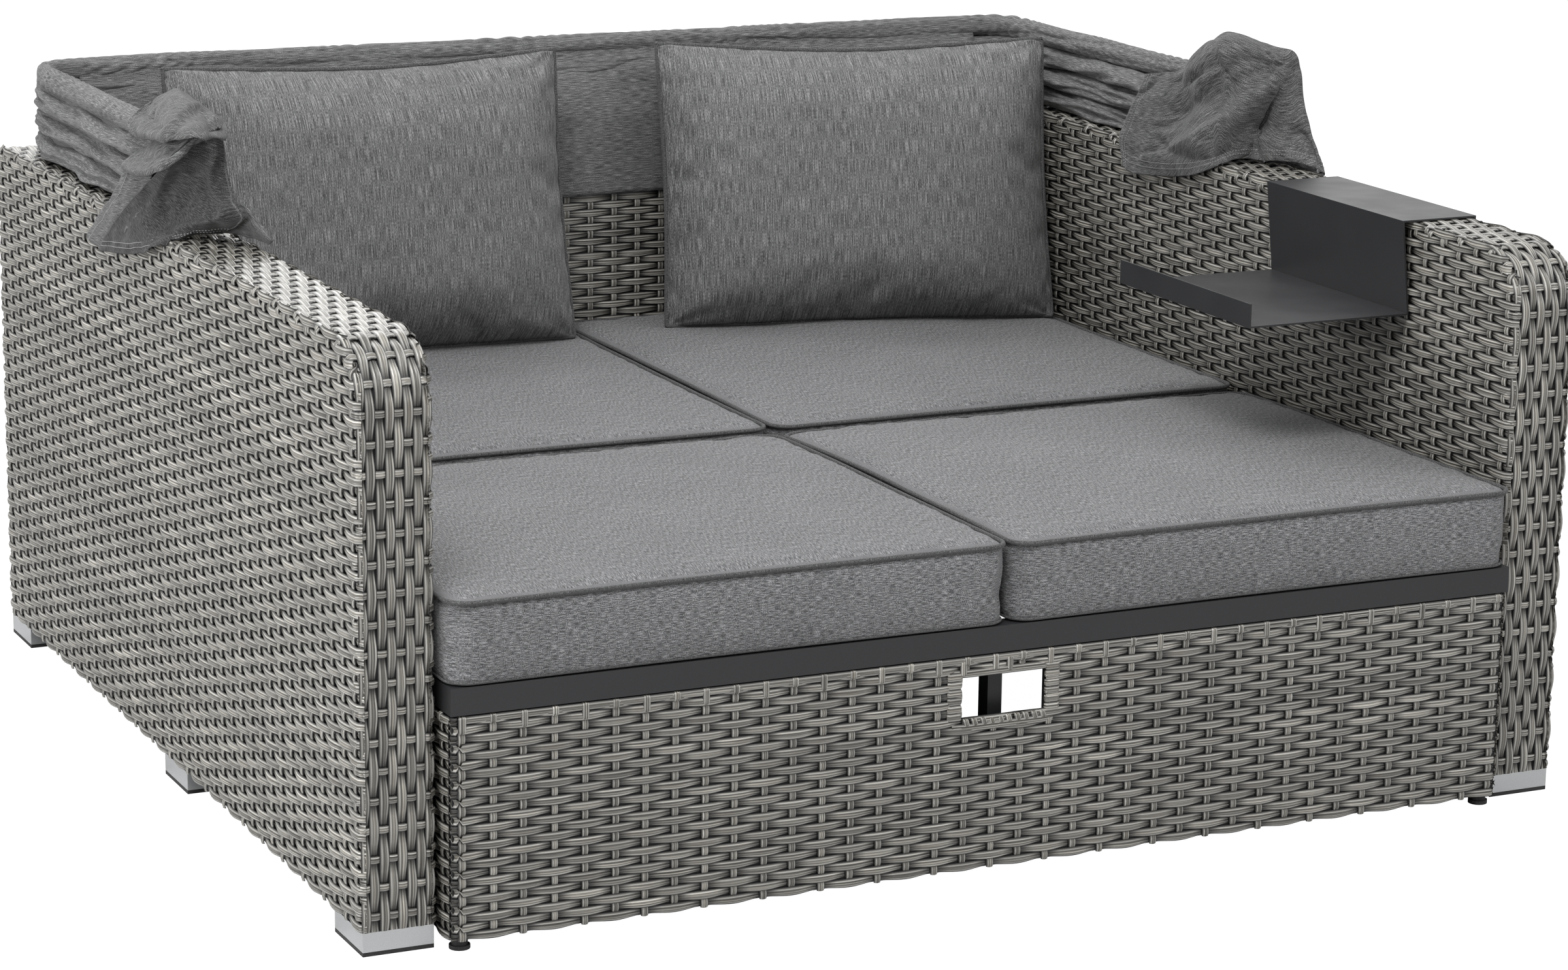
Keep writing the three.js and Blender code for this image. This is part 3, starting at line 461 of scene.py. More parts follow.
# Painted shade: the strand edges are darkened nearly to black, standing in for the shade in the gaps between
# strands
PAINTED_GAP_SHADE_SHARES = [(0.62, 0.0), (0.92, 0.99)]
PAINTED_GAP_SHADE_COLOUR = (0.022, 0.022, 0.022)
# Painted shade: the strands are darkened where they dip under the others, standing in for the shade at each
# crossing
PAINTED_DIP_SHADE_TONES = [(0.04, 0.08), (0.28, 0.64), (0.6, 1.1)]
STRAND_ROUGHNESS = [(0.3, 0.38), (0.7, 0.25)]
STRAND_ROUNDNESS = -3.4
RIB_HEIGHT = 0.7
FINE_HEIGHT = 0.5
STRAND_BUMP = 0.9, 0.9 * MM
STRAND_SPECULAR = 0.75


def strand_material():
    """Synthetic strands: mottled grey and taupe, with ribs and streaks along each strand, painted shade in
    their rib grooves, between them and where they dip under others, and painted highlights along their edges.
    """
    material, tree, shader = material_named("woven_strand")
    vector = node(tree, "ShaderNodeAttribute", attribute_name="strand").outputs["Vector"]
    lift = node(tree, "ShaderNodeAttribute", attribute_name="lift").outputs["Fac"]
    parts = tree.nodes.new("ShaderNodeSeparateXYZ")
    tree.links.new(vector, parts.inputs[0])
    across, strand = parts.outputs[1], parts.outputs[2]
    streak, fine, patch = [
        noise(tree, scaled(tree, vector, scale), 1.0, detail)
        for scale, detail in (STRAND_STREAK, STRAND_FINE, STRAND_PATCH)
    ]
    ribs = halved(tree, math_node(tree, "COSINE", math_node(tree, "MULTIPLY", across, RIBS * math.pi)))
    edge = math_node(tree, "ABSOLUTE", across)
    tone = ramp(tree, streak, STRAND_TONES)
    for blend, share, colour in (
        ("MULTIPLY", STRAND_FINE_SHARE, ramp(tree, fine, STRAND_FINE_TONES)),
        ("MIX", ramp(tree, patch, STRAND_PATCH_SHARES), STRAND_PATCH_COLOUR),
        ("MULTIPLY", 1.0, ramp(tree, strand, STRAND_BRIGHTNESS)),
        # Painted shade in the grooves between the ribs
        ("MULTIPLY", RIB_GROOVE_SHADE_SHARE, ramp(tree, ribs, RIB_GROOVE_SHADE_TONES)),
        # Painted highlight along the strand edges
        ("SCREEN", ramp(tree, edge, PAINTED_RIM_HIGHLIGHT_SHARES), PAINTED_RIM_HIGHLIGHT_COLOUR),
        # Painted shade in the gaps between strands
        ("MULTIPLY", ramp(tree, edge, PAINTED_GAP_SHADE_SHARES), PAINTED_GAP_SHADE_COLOUR),
        # Painted shade where strands dip under others
        ("MULTIPLY", 1.0, ramp(tree, halved(tree, lift), PAINTED_DIP_SHADE_TONES)),
    ):
        tone = mix_colour(tree, blend, share, tone, colour)
    tree.links.new(tone, shader.inputs["Base Color"])
    height = math_node(tree, "MULTIPLY", math_node(tree, "MULTIPLY", across, across), STRAND_ROUNDNESS)
    for source, share in ((ribs, RIB_HEIGHT), (fine, FINE_HEIGHT)):
        height = math_node(tree, "ADD", height, math_node(tree, "MULTIPLY", source, share))
    bumped(tree, shader, height, *STRAND_BUMP)
    tree.links.new(ramp(tree, streak, STRAND_ROUGHNESS), shader.inputs["Roughness"])
    shader.inputs["Specular IOR Level"].default_value = STRAND_SPECULAR
    return material


COAT_GRAIN_SCALE = 900
COAT_BROAD_SCALE = 14
COAT_ROUGHNESS = (-0.04, 0.05)
COAT_BUMP = 0.2, 0.2 * MM
NOISE_RANGE = (0.3, 0.7)

# Coatings: colour, roughness, metallic and grain
COATS = {
    # weave_shadow is the dark of the painted shade sheets behind the strands
    "weave_shadow": ((0.016, 0.016, 0.016), 0.8, 0.0, 0.03),
    "anthracite_coat": ((0.024, 0.0245, 0.0265), 0.42, 0.0, 0.06),
    "brushed_aluminium": ((0.62, 0.63, 0.64), 0.34, 1.0, 0.03),
    "fastener_steel": ((0.5, 0.51, 0.52), 0.3, 1.0, 0.03),
    "black_rubber": ((0.02, 0.02, 0.02), 0.7, 0.0, 0.1),
    "sewing_thread": ((0.34, 0.34, 0.34), 0.7, 0.0, 0.03),
}


def plain_material(name):
    """A plain coating with a little grain in colour, roughness and height."""
    colour, roughness, metallic, grain = COATS[name]
    material, tree, shader = material_named(name)
    place = tree.nodes.new("ShaderNodeTexCoord").outputs["Object"]
    grainy = noise(tree, place, COAT_GRAIN_SCALE)
    tones = [tuple(min(1, c * (1 + sign * 2 * grain)) for c in colour) for sign in (-1, 1)]
    tree.links.new(ramp(tree, grainy, zip(NOISE_RANGE, tones)), shader.inputs["Base Color"])
    broad = noise(tree, place, COAT_BROAD_SCALE)
    finish = [roughness + change for change in COAT_ROUGHNESS]
    tree.links.new(ramp(tree, broad, zip(NOISE_RANGE, finish)), shader.inputs["Roughness"])
    shader.inputs["Metallic"].default_value = metallic
    bumped(tree, shader, grainy, *COAT_BUMP)
    return material


FABRIC_BROAD_SCALE = 7
FABRIC_BROAD_TONES = (0.94, 1.05)
FABRIC_LIGHT_STRETCH = 1.2
FABRIC_SETTINGS = {"Roughness": 0.92, "Sheen Weight": 0.1, "Sheen Roughness": 0.5, "Specular IOR Level": 0.15}
FABRIC_BUMP = 0.5, 0.5 * MM
CANOPY_GRAIN = (60, 900), (800, 1200)

# Fabrics: dark, middle and light yarns, scales of the streaks and of the yarns, and spread of the tones
FABRICS = {
    "seat_fabric": (
        ((0.066, 0.0665, 0.069), (0.174, 0.175, 0.18), (0.42, 0.42, 0.43)), (900, 110), (1200, 700), 0.11),
    "pillow_fabric": (
        ((0.065, 0.065, 0.066), (0.16, 0.16, 0.162), (0.37, 0.37, 0.37)), (820, 36), (1500, 300), 0.13),
    "canopy_cloth": (
        ((0.05, 0.05, 0.051), (0.138, 0.138, 0.139), (0.37, 0.37, 0.37)), *CANOPY_GRAIN, 0.13),
    # The two flap cloths below are the canopy cloth made darker as painted shade: the flaps lie in shadow, and
    # the left flap's panel, darker still, is painted shadow
    "flap_cloth_painted_shade": (
        ((0.03, 0.03, 0.0305), (0.095, 0.095, 0.096), (0.31, 0.31, 0.31)), *CANOPY_GRAIN, 0.12),
    "flap_panel_cloth_painted_shadow": (
        ((0.014, 0.014, 0.0145), (0.046, 0.046, 0.0465), (0.15, 0.15, 0.15)), *CANOPY_GRAIN, 0.12),
    # The piping cloth is darker than the covers as painted shade: it stands in for the shadow line along each
    # piped seam
    "piping_fabric_painted_shade": (
        ((0.03, 0.03, 0.031), (0.085, 0.085, 0.087), (0.22, 0.22, 0.22)), (500, 500), (1100, 1100), 0.14),
}


def fabric_material(name):
    """Woven outdoor fabric of mixed yarns: fine light streaks along the grain over a darker ground."""
    tones, streak, yarn, spread = FABRICS[name]
    material, tree, shader = material_named(name)
    vector = node(tree, "ShaderNodeAttribute", attribute_name="cloth").outputs["Vector"]
    halves = [
        math_node(tree, "MULTIPLY", noise(tree, scaled(tree, vector, (*scale, 0)), 1.0, 1.0), 0.5)
        for scale in (streak, yarn)
    ]
    mixed = math_node(tree, "ADD", *halves)
    stops = (0.5 - spread, 0.5, 0.5 + FABRIC_LIGHT_STRETCH * spread)
    tone = ramp(tree, mixed, zip(stops, tones))
    broad = ramp(tree, noise(tree, vector, FABRIC_BROAD_SCALE), zip(NOISE_RANGE, FABRIC_BROAD_TONES))
    tree.links.new(mix_colour(tree, "MULTIPLY", 1.0, tone, broad), shader.inputs["Base Color"])
    for label, value in FABRIC_SETTINGS.items():
        shader.inputs[label].default_value = value
    bumped(tree, shader, mixed, *FABRIC_BUMP)
    return material


WEAVE = strand_material()
SHADOW_CORE, FRAME_METAL, ALUMINIUM, STEEL, RUBBER, THREAD = [plain_material(name) for name in COATS]
SEAT_FABRIC, PILLOW_FABRIC, CANOPY_FABRIC, PAINTED_SHADE_FLAP_FABRIC, PAINTED_SHADOW_PANEL_FABRIC, SHADOW_LINE_PIPING_FABRIC = [
    fabric_material(name) for name in FABRICS
]


# Soft pieces: grids of points, smoothed from a few controls

CLOTH_THICKNESS = 1.6 * MM
CORD_SIDES = 8
# A direction that no cord follows
ASKEW = np.array([0.13, 0.21, 0.97])
STITCH_PITCH = 4.2 * MM
STITCH_LENGTH = 3.1 * MM
STITCH_RADIUS = 0.42 * MM
STITCH_LIFT = 0.35 * MM
STITCH_SIDES = 6
STITCH_PLACES = np.array([-0.5, -0.32, 0.0, 0.32, 0.5])
STITCH_SIZES = np.array([0.15, 0.9, 1.0, 0.9, 0.15])
STITCH_RISES = np.array([-1.0, 0.6, 1.0, 0.6, -1.0])
CLOTH_SLACK = 0.02
CLOTH_BENDING = 0.3
CLOTH_QUALITY = 5
SETTLE_FRAMES = 20
ON_EDGE = 1 - 1e-6


def spline(points, count):
    """A smooth curve through points (n, k), with count points evenly spread over its controls."""
    points = np.asarray(points, float)
    padded = np.concatenate([2 * points[:1] - points[1:2], points, 2 * points[-1:] - points[-2:-1]])
    place = np.linspace(0, len(points) - 1, count)
    base = np.minimum(place.astype(int), len(points) - 2)
    f = (place - base)[:, None]
    p0, p1, p2, p3 = padded[base], padded[base + 1], padded[base + 2], padded[base + 3]
    square, cube = 2 * p0 - 5 * p1 + 4 * p2 - p3, 3 * p1 - p0 - 3 * p2 + p3
    return 0.5 * (2 * p1 + (p2 - p0) * f + square * f ** 2 + cube * f ** 3)


def smooth_ring(points):
    """A smooth closed curve through a ring of points."""
    return spline(np.concatenate([points, points[:1]]), 3 * (len(points) + 1))[:-1]


def loft(net, rows, columns):
    """A smooth surface through a net of control points (r, c, 3), as a grid (rows, columns, 3)."""
    net = np.asarray(net, float)
    wide = np.stack([spline(line, columns) for line in net])
    return np.stack([spline(wide[:, i], rows) for i in range(columns)], axis=1)


def ripple(u, v, size, seed, waves=9):
    """A smooth random field of about plus or minus one, with waves of about that size."""
    rng = np.random.default_rng(seed)
    total = np.zeros(np.broadcast(u, v).shape)
    for _ in range(waves):
        angle = rng.uniform(0, 2 * math.pi)
        length = size * rng.uniform(0.6, 1.6)
        phase = rng.uniform(0, 2 * math.pi)
        total += np.cos(2 * math.pi * (u * math.cos(angle) + v * math.sin(angle)) / length + phase)
    return total / math.sqrt(waves / 2) / 1.6


def grid_normals(points):
    """Unit normals of a grid of points."""
    return unit(np.cross(np.gradient(points, axis=0), np.gradient(points, axis=1)))


def grid_cloth(points):
    """Places on the cloth in metres for a grid: along its rows and across them."""
    along_rows = np.linalg.norm(np.diff(points, axis=1, prepend=points[:, :1]), axis=2).cumsum(1)
    down = np.linalg.norm(np.diff(points, axis=0, prepend=points[:1]), axis=2).cumsum(0)
    return np.stack([along_rows, down, 0 * down], axis=-1)


def grid_rim(rows, columns):
    """Numbers of a grid's points round its edge."""
    grid = np.arange(rows * columns).reshape(rows, columns)
    return np.concatenate([grid[0], grid[1:, -1], grid[-1, -2::-1], grid[-2:0:-1, 0]])


def grid_quads(rows, columns, wrap=False):
    """Quads of a grid. wrap joins its last column to its first."""
    grid = np.arange(rows * columns).reshape(rows, columns)
    if wrap:
        grid = np.concatenate([grid, grid[:, :1]], axis=1)
    return np.stack([grid[:-1, :-1], grid[1:, :-1], grid[1:, 1:], grid[:-1, 1:]], axis=-1).reshape(-1, 4)


def set_cloth(piece, places):
    """Keeps each point's place on the cloth for the fabric material."""
    data = piece.data.attributes.new("cloth", "FLOAT_VECTOR", "POINT")
    data.data.foreach_set("vector", np.asarray(places, np.float32).ravel())


def cloth_piece(name, points, material, thickness=CLOTH_THICKNESS, cloth=None):
    """A sheet of cloth from a grid of points, with both faces and closed edges."""
    rows, columns, _ = points.shape
    normals = grid_normals(points)
    cloth = grid_cloth(points) if cloth is None else cloth
    both = np.concatenate([points + normals * thickness / 2, points - normals * thickness / 2]).reshape(-1, 3)
    front = grid_quads(rows, columns)
    count = rows * columns
    rim = grid_rim(rows, columns)
    ahead = np.roll(rim, -1)
    edge = np.stack([rim, ahead, ahead + count, rim + count], axis=-1)
    quads = np.concatenate([front, front[:, ::-1] + count, edge])
    made = quad_mesh(name, both, quads, material)
    set_cloth(made, np.concatenate([cloth.reshape(-1, 3)] * 2))
    return made


def tube_piece(name, path, radius, closed=True):
    """A round cord of piping cloth along a path of points, its cloth dark as painted shade of the shadow line
    along a seam.
    """
    sides = CORD_SIDES
    if closed:
        ahead = unit(np.roll(path, -1, axis=0) - np.roll(path, 1, axis=0))
    else:
        ahead = unit(np.gradient(path, axis=0))
    side = unit(np.cross(ahead, ASKEW))
    up = np.cross(side, ahead)
    turn = np.linspace(0, 2 * math.pi, sides, endpoint=False)
    ring = np.cos(turn)[None, :, None] * side[:, None] + np.sin(turn)[None, :, None] * up[:, None]
    points = path[:, None] + ring * radius
    lengths = np.linalg.norm(np.diff(path, axis=0, prepend=path[:1]), axis=1).cumsum()
    quads = grid_quads(len(path), sides, wrap=True)
    if closed:
        last = (len(path) - 1) * sides
        near = np.arange(sides)
        far = (near + 1) % sides
        quads = np.concatenate([quads, np.stack([last + near, near, far, last + far], 1)])
    made = quad_mesh(name, points.reshape(-1, 3), quads[:, ::-1], SHADOW_LINE_PIPING_FABRIC)
    cloth = np.zeros((len(path), sides, 3))
    cloth[..., 0] = turn * radius
    cloth[..., 1] = lengths[:, None]
    set_cloth(made, cloth)
    return made


def stitches(name, path, outs):
    """A row of short stitches lying on cloth along a path, facing outs."""
    lengths = np.linalg.norm(np.diff(path, axis=0, prepend=path[:1]), axis=1).cumsum()
    count = max(2, int(lengths[-1] / STITCH_PITCH))
    middles = (np.arange(count) + 0.5) * lengths[-1] / count
    pieces, quads, places = [], [], []
    turn = np.linspace(0, 2 * math.pi, STITCH_SIDES, endpoint=False)
    size = STITCH_RADIUS * STITCH_SIZES[:, None, None]
    lift = STITCH_LIFT * STITCH_RISES[:, None]
    for index, middle in enumerate(middles):
        s = middle + STITCH_PLACES * STITCH_LENGTH
        centre = np.stack([np.interp(s, lengths, path[:, k]) for k in range(3)], axis=1)
        out = unit(np.stack([np.interp(s, lengths, outs[:, k]) for k in range(3)], axis=1))
        side = unit(np.cross(unit(np.gradient(centre, axis=0)), out))
        ring = np.cos(turn)[None, :, None] * side[:, None] + np.sin(turn)[None, :, None] * out[:, None]
        pieces.append(((centre + out * lift)[:, None] + ring * size).reshape(-1, 3))
        quads.append(grid_quads(len(s), STITCH_SIDES, wrap=True) + index * len(s) * STITCH_SIDES)
        places.append(np.repeat(s, STITCH_SIDES))
    made = quad_mesh(name, np.concatenate(pieces), np.concatenate(quads), THREAD)
    along_row = np.concatenate(places)
    set_cloth(made, np.stack([0 * along_row, along_row, 0 * along_row], axis=1))
    return made


def settle(piece, pinned, pressure, cap):
    """Inflates a closed cloth by simulation, its pinned points held, no point moving further than cap."""
    start = points_of(piece)
    group = piece.vertex_groups.new(name="held")
    group.add([int(i) for i in np.nonzero(pinned)[0]], 1.0, "REPLACE")
    cloth = piece.modifiers.new("Cloth", "CLOTH")
    settings = cloth.settings
    settings.vertex_group_mass = "held"
    settings.use_pressure = True
    settings.uniform_pressure_force = pressure
    settings.effector_weights.gravity = 0
    settings.shrink_min = -CLOTH_SLACK
    settings.bending_stiffness = CLOTH_BENDING
    settings.quality = CLOTH_QUALITY
    cloth.collision_settings.use_collision = False
    cloth.point_cache.frame_end = SETTLE_FRAMES
    scene = bpy.context.scene
    for step in range(1, SETTLE_FRAMES + 1):
        scene.frame_set(step)
    move = points_of(piece.evaluated_get(bpy.context.evaluated_depsgraph_get())) - start
    length = np.linalg.norm(move, axis=1, keepdims=True)
    move *= np.minimum(1, cap / np.maximum(length, 1e-9))
    piece.modifiers.remove(cloth)
    piece.vertex_groups.remove(group)
    scene.frame_set(1)
    move_points(piece, start + move)


def points_of(piece):
    """A piece's points as an array."""
    points = np.empty(len(piece.data.vertices) * 3)
    piece.data.vertices.foreach_get("co", points)
    return points.reshape(-1, 3)


def move_points(piece, points):
    """Puts a piece's points in new places."""
    piece.data.vertices.foreach_set("co", np.asarray(points, float).ravel())
    piece.data.update()


def smoothed(piece):
    """One level of subdivision."""
    modifier = piece.modifiers.new("Smooth", "SUBSURF")
    modifier.levels = 1
    modifier.render_levels = 1


# Seat cushions

SEAT_STEP = 11 * MM
SEAT_CORNER = 30 * MM
SEAT_DRAW_IN = 4 * MM
SEAT_BOX_BULGE = 2.5 * MM
SEAT_CROWN = 8 * MM
SEAT_CAP = 6 * MM
SEAT_INSET = 2 * MM
SEAT_PUCKER = 1.0 * MM
SEAT_PUCKER_SIZE = 34 * MM
SEAT_PUCKER_REACH = 26 * MM
SEAT_DIP = 7 * MM
SEAT_WANDER = 0.7 * MM
SEAT_TAPER = 4 * MM
PIPING_RADIUS = 3.1 * MM
PIPING_OUT = 1.0 * MM
PIPING_GROOVE = 1.5 * MM
GROOVE_WIDTH = 5 * MM
PIPING_LIFTS = {"top": 0.1 * PIPING_RADIUS, "bottom": 1.2 * PIPING_RADIUS}
PIPING_RADII = {"top": PIPING_RADIUS, "bottom": 0.6 * PIPING_RADIUS}
SEAT_PRESSURE = 4.0
SEAT_WANDER_SIZE = 220 * MM
SEAT_SWELL = 1.5 * MM
SEAT_SWELL_SIZE = 280 * MM
SEAT_ROOM = 0.4 * MM
# How far the walls' cloth lies from the top's in the fabric, so that their yarns differ
WALL_SHIFT = 2


def box_grid(size, steps):
    """A closed box mesh with a grid on each face: points and quads."""
    index, points, quads = {}, [], []
    def corner(key):
        if key not in index:
            index[key] = len(points)
            points.append([(k / n - 0.5) * w for k, n, w in zip(key, steps, size)])
        return index[key]
    for axis in range(3):
        a, b = [k for k in range(3) if k != axis]
        for end in (0, steps[axis]):
            for i in range(steps[a]):
                for j in range(steps[b]):
                    ring = []
                    for di, dj in ((0, 0), (1, 0), (1, 1), (0, 1)):
                        key = [0, 0, 0]
                        key[axis], key[a], key[b] = end, i + di, j + dj
                        ring.append(corner(tuple(key)))
                    outward = (end > 0) == (axis != 1)
                    quads.append(ring if outward else ring[::-1])
    return np.array(points), np.array(quads)


def seat_faces(flat):
    """Which points of a cushion lie on its sides in X and in Y, on any side, on top and below."""
    on_sides = abs(flat[:, :2]) > ON_EDGE
    return on_sides, on_sides.any(axis=1), flat[:, 2] > ON_EDGE, flat[:, 2] < -ON_EDGE


def seat_shape(points, half, flat, in_front, seed):
    """A cushion's box with rounded corners, crowned top and drawn-in sides. A front one dips at its rear."""
    core = half[:2] - SEAT_CORNER
    inner = np.clip(points[:, :2], -core, core)
    away = points[:, :2] - inner
    reach = np.abs(away).max(axis=1)
    length = np.linalg.norm(away, axis=1)
    x, y = (inner + away * (reach / np.maximum(length, 1e-9))[:, None]).T
    u, v, w = flat.T
    draw = SEAT_DRAW_IN - SEAT_BOX_BULGE * (1 - w ** 2)
    x = x * (1 - draw * (1 - v ** 2) * abs(u) ** 3 / half[0])
    y = y * (1 - draw * (1 - u ** 2) * abs(v) ** 3 / half[1])
    crown = SEAT_CROWN * ((1 - u ** 2) * (1 - v ** 2)) ** 0.6
    z = points[:, 2] + np.clip(w, 0, 1) * crown
    if in_front:
        z = z - SEAT_DIP * np.clip(w, 0, 1) * np.clip((v - 0.2) / 0.8, 0, 1) ** 2
    wander = ripple(x, y, SEAT_WANDER_SIZE, seed + 2) * SEAT_WANDER - SEAT_WANDER
    wander = wander * np.clip(w + 0.4, 0, 1)
    x = x + np.sign(u) * abs(u) ** 6 * wander
    y = y + np.sign(v) * abs(v) ** 6 * wander
    y = y + SEAT_TAPER * np.clip(-w, 0, 1) ** 1.5 * np.clip(-v, 0, 1) ** 4
    return np.stack([x, y, z], axis=1)


def seat_relief(points, half, flat, seed):
    """Adds puckers along the seams, broad swells on top, and grooves beside the piping."""
    u, v, w = flat.T
    on_sides, on_wall, on_top, on_bottom = seat_faces(flat)
    seam = on_wall & (on_top | on_bottom)
    down = half[2] * (1 - w)
    inward = np.minimum(half[0] * (1 - abs(u)), half[1] * (1 - abs(v))) + np.where(on_top, 0, down)
    pucker = ripple(points[:, 0] + points[:, 2], points[:, 1], SEAT_PUCKER_SIZE, seed)
    points[:, 2] += np.where(on_top & ~seam, SEAT_PUCKER * pucker * np.exp(-inward / SEAT_PUCKER_REACH), 0)
    push = np.where(on_wall & ~seam & ~on_bottom, SEAT_PUCKER * pucker * (1 - w ** 2), 0)
    outward = np.sign(flat[:, :2]) * on_sides
    points[:, :2] += outward * push[:, None]
    broad = ripple(points[:, 0], points[:, 1], SEAT_SWELL_SIZE, seed + 1)
    points[:, 2] += np.where(on_top & ~seam, SEAT_SWELL * broad * ((1 - u ** 2) * (1 - v ** 2)) ** 0.5, 0)
    groove = PIPING_GROOVE * np.exp(-(down / GROOVE_WIDTH) ** 2) * (on_wall & ~seam)
    points[:, :2] -= outward * groove[:, None]
    points[:, 2] -= PIPING_GROOVE * np.exp(-(inward / GROOVE_WIDTH) ** 2) * (on_top & ~seam)
    return points


def seat_piping(name, body, level, seam, around):
    """The cord along one of a cushion's seams. around is the seam's points from the cushion's middle."""
    away = unit(around * np.array([1, 1, 0]))
    path = seam + away * PIPING_OUT + np.array([0, 0, PIPING_LIFTS[level]])
    cord = tube_piece(f"{name}_{level}_piping", smooth_ring(path), PIPING_RADII[level])
    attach(cord, body)


def seat_cushion(name, body, seed):
    """A boxed seat cushion: crowned top, sides drawn in between its corners, seams with piping."""
    low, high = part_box(name)
    extent = np.array(high) - np.array(low)
    size = extent - np.array([2 * SEAT_INSET, 2 * SEAT_INSET, SEAT_CROWN])
    centre = np.array([(low.x + high.x) / 2, (low.y + high.y) / 2, low.z + size[2] / 2])
    points, quads = box_grid(size, [max(8, round(width / SEAT_STEP)) for width in size])
    half = size / 2
    flat = points / half
    on_sides, on_wall, on_top, on_bottom = seat_faces(flat)
    points = seat_shape(points, half, flat, name.startswith("front"), seed)
    made = quad_mesh(name + "_cover", points + centre, quads, SEAT_FABRIC)
    settle(made, (on_wall & on_top) | on_bottom, SEAT_PRESSURE, SEAT_CAP)
    moved = seat_relief(points_of(made) - centre, half, flat, seed)
    limit = extent[:2] / 2 - SEAT_ROOM
    moved[:, :2] = np.clip(moved[:, :2], -limit, limit)
    move_points(made, moved + centre)
    cloth = np.stack([moved[:, 0], moved[:, 1], 0 * moved[:, 2]], axis=1)
    cloth[on_wall, 0] = moved[on_wall, 2] + WALL_SHIFT
    cloth[on_wall, 1] = moved[on_wall, 0]
    cloth[on_sides[:, 0], 1] = moved[on_sides[:, 0], 1]
    set_cloth(made, cloth)
    smoothed(made)
    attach(made, body)
    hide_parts(name)
    for level, rim in (("top", on_wall & on_top), ("bottom", on_wall & on_bottom)):
        ring = np.nonzero(rim)[0]
        ring = ring[np.argsort(np.arctan2(flat[ring, 1], flat[ring, 0]))]
        seat_piping(name, body, level, moved[ring] + centre, moved[ring])


# Back pillows

PILLOW_WIDTH = 616.6 * MM
PILLOW_HEIGHT = 440 * MM
PILLOW_FRONT = 84 * MM
PILLOW_REAR = 96 * MM
PILLOW_DRAW_SIDE = 9 * MM
PILLOW_DRAW_TOP = 13 * MM
PILLOW_STEPS = (64, 46)
PILLOW_CAP = 14 * MM
PILLOW_PIPING = 3.6 * MM
PILLOW_SAG = 3 * MM
PILLOW_CORNER_CUT = 3 * MM
PILLOW_ROLL = 8 * MM
PILLOW_ROLL_REACH = 0.07
PILLOW_PRESSURE = 3.0
PILLOW_EASE = 0.9
PILLOW_SPOKES = 9
PILLOW_FOLD = 3.5 * MM
PILLOW_CRUMPLE = 2.2 * MM
PILLOW_CRUMPLE_SIZE = 60 * MM
PILLOW_SWELL = 3 * MM
PILLOW_SWELL_SIZE = 300 * MM
# How far the rear's cloth lies from the front's in the fabric, so that their yarns differ
PILLOW_REAR_SHIFT = 0.9
# Each pillow's middle across and its depth, and its turn and lean in degrees
PILLOW_PLACES = {
    "left": (-340.7 * MM, 544.5 * MM, 0, 11),
    "right": (423.4 * MM, 492.7 * MM, -13.5, 14),
}
PILLOW_BACK_LIMIT = 697.5 * MM
PILLOW_BASE = 440 * MM


def pillow_places(side, points):
    """Points of an upright pillow moved to where it leans."""
    across, deep, turn, lean = PILLOW_PLACES[side]
    lean, turn = math.radians(lean), math.radians(turn)
    x, y, z = points.T
    y, z = y * math.cos(lean) + z * math.sin(lean), z * math.cos(lean) - y * math.sin(lean)
    x, y = x * math.cos(turn) - y * math.sin(turn), x * math.sin(turn) + y * math.cos(turn)
    return np.stack([x + across, y + deep, z + PILLOW_BASE], axis=1)


def eased(count):
    """Steps from -1 to 1 that are closer together near both ends."""
    angle = np.linspace(-1, 1, count) * math.pi / 2 * PILLOW_EASE
    return np.sin(angle) / math.sin(math.pi / 2 * PILLOW_EASE)


def pillow_shape(u, v, seed):
    """Front and rear of an upright pillow, full in the middle and drawn in between its pointed corners."""
    x = PILLOW_WIDTH / 2 * u * (1 - 2 * PILLOW_DRAW_SIDE / PILLOW_WIDTH * (1 - v ** 2) * abs(u) ** 2)
    draw = PILLOW_DRAW_TOP * np.where(v > 0, 1, 0.3)
    z = PILLOW_HEIGHT / 2 * v * (1 - 2 * draw / PILLOW_HEIGHT * (1 - u ** 2) * abs(v) ** 2)
    full = ((1 - abs(u) ** 3.4) * (1 - abs(v) ** 3.0)) ** 0.5 * (1 - 0.12 * v)
    tops = np.clip(v, 0, 1) ** 3
    z = z - PILLOW_SAG * tops * (np.cos(u * math.pi / 2) ** 0.8 + 0.25 * np.sin(u * 5 + seed))
    cut = PILLOW_CORNER_CUT * abs(u * v) ** 6
    x, z = x - np.sign(u) * cut, z - np.sign(v) * cut + PILLOW_HEIGHT / 2
    roll_u = PILLOW_ROLL * np.sign(u) * np.exp((abs(u) - 1) / PILLOW_ROLL_REACH) * (1 - v ** 8)
    roll_v = PILLOW_ROLL * np.exp((v - 1) / PILLOW_ROLL_REACH) * (1 - u ** 8)
    front = np.stack([x, -PILLOW_FRONT * full, z], axis=-1)
    rear = np.stack([x + roll_u, PILLOW_REAR * full, z + roll_v], axis=-1)
    return front.reshape(-1, 3), rear.reshape(-1, 3)


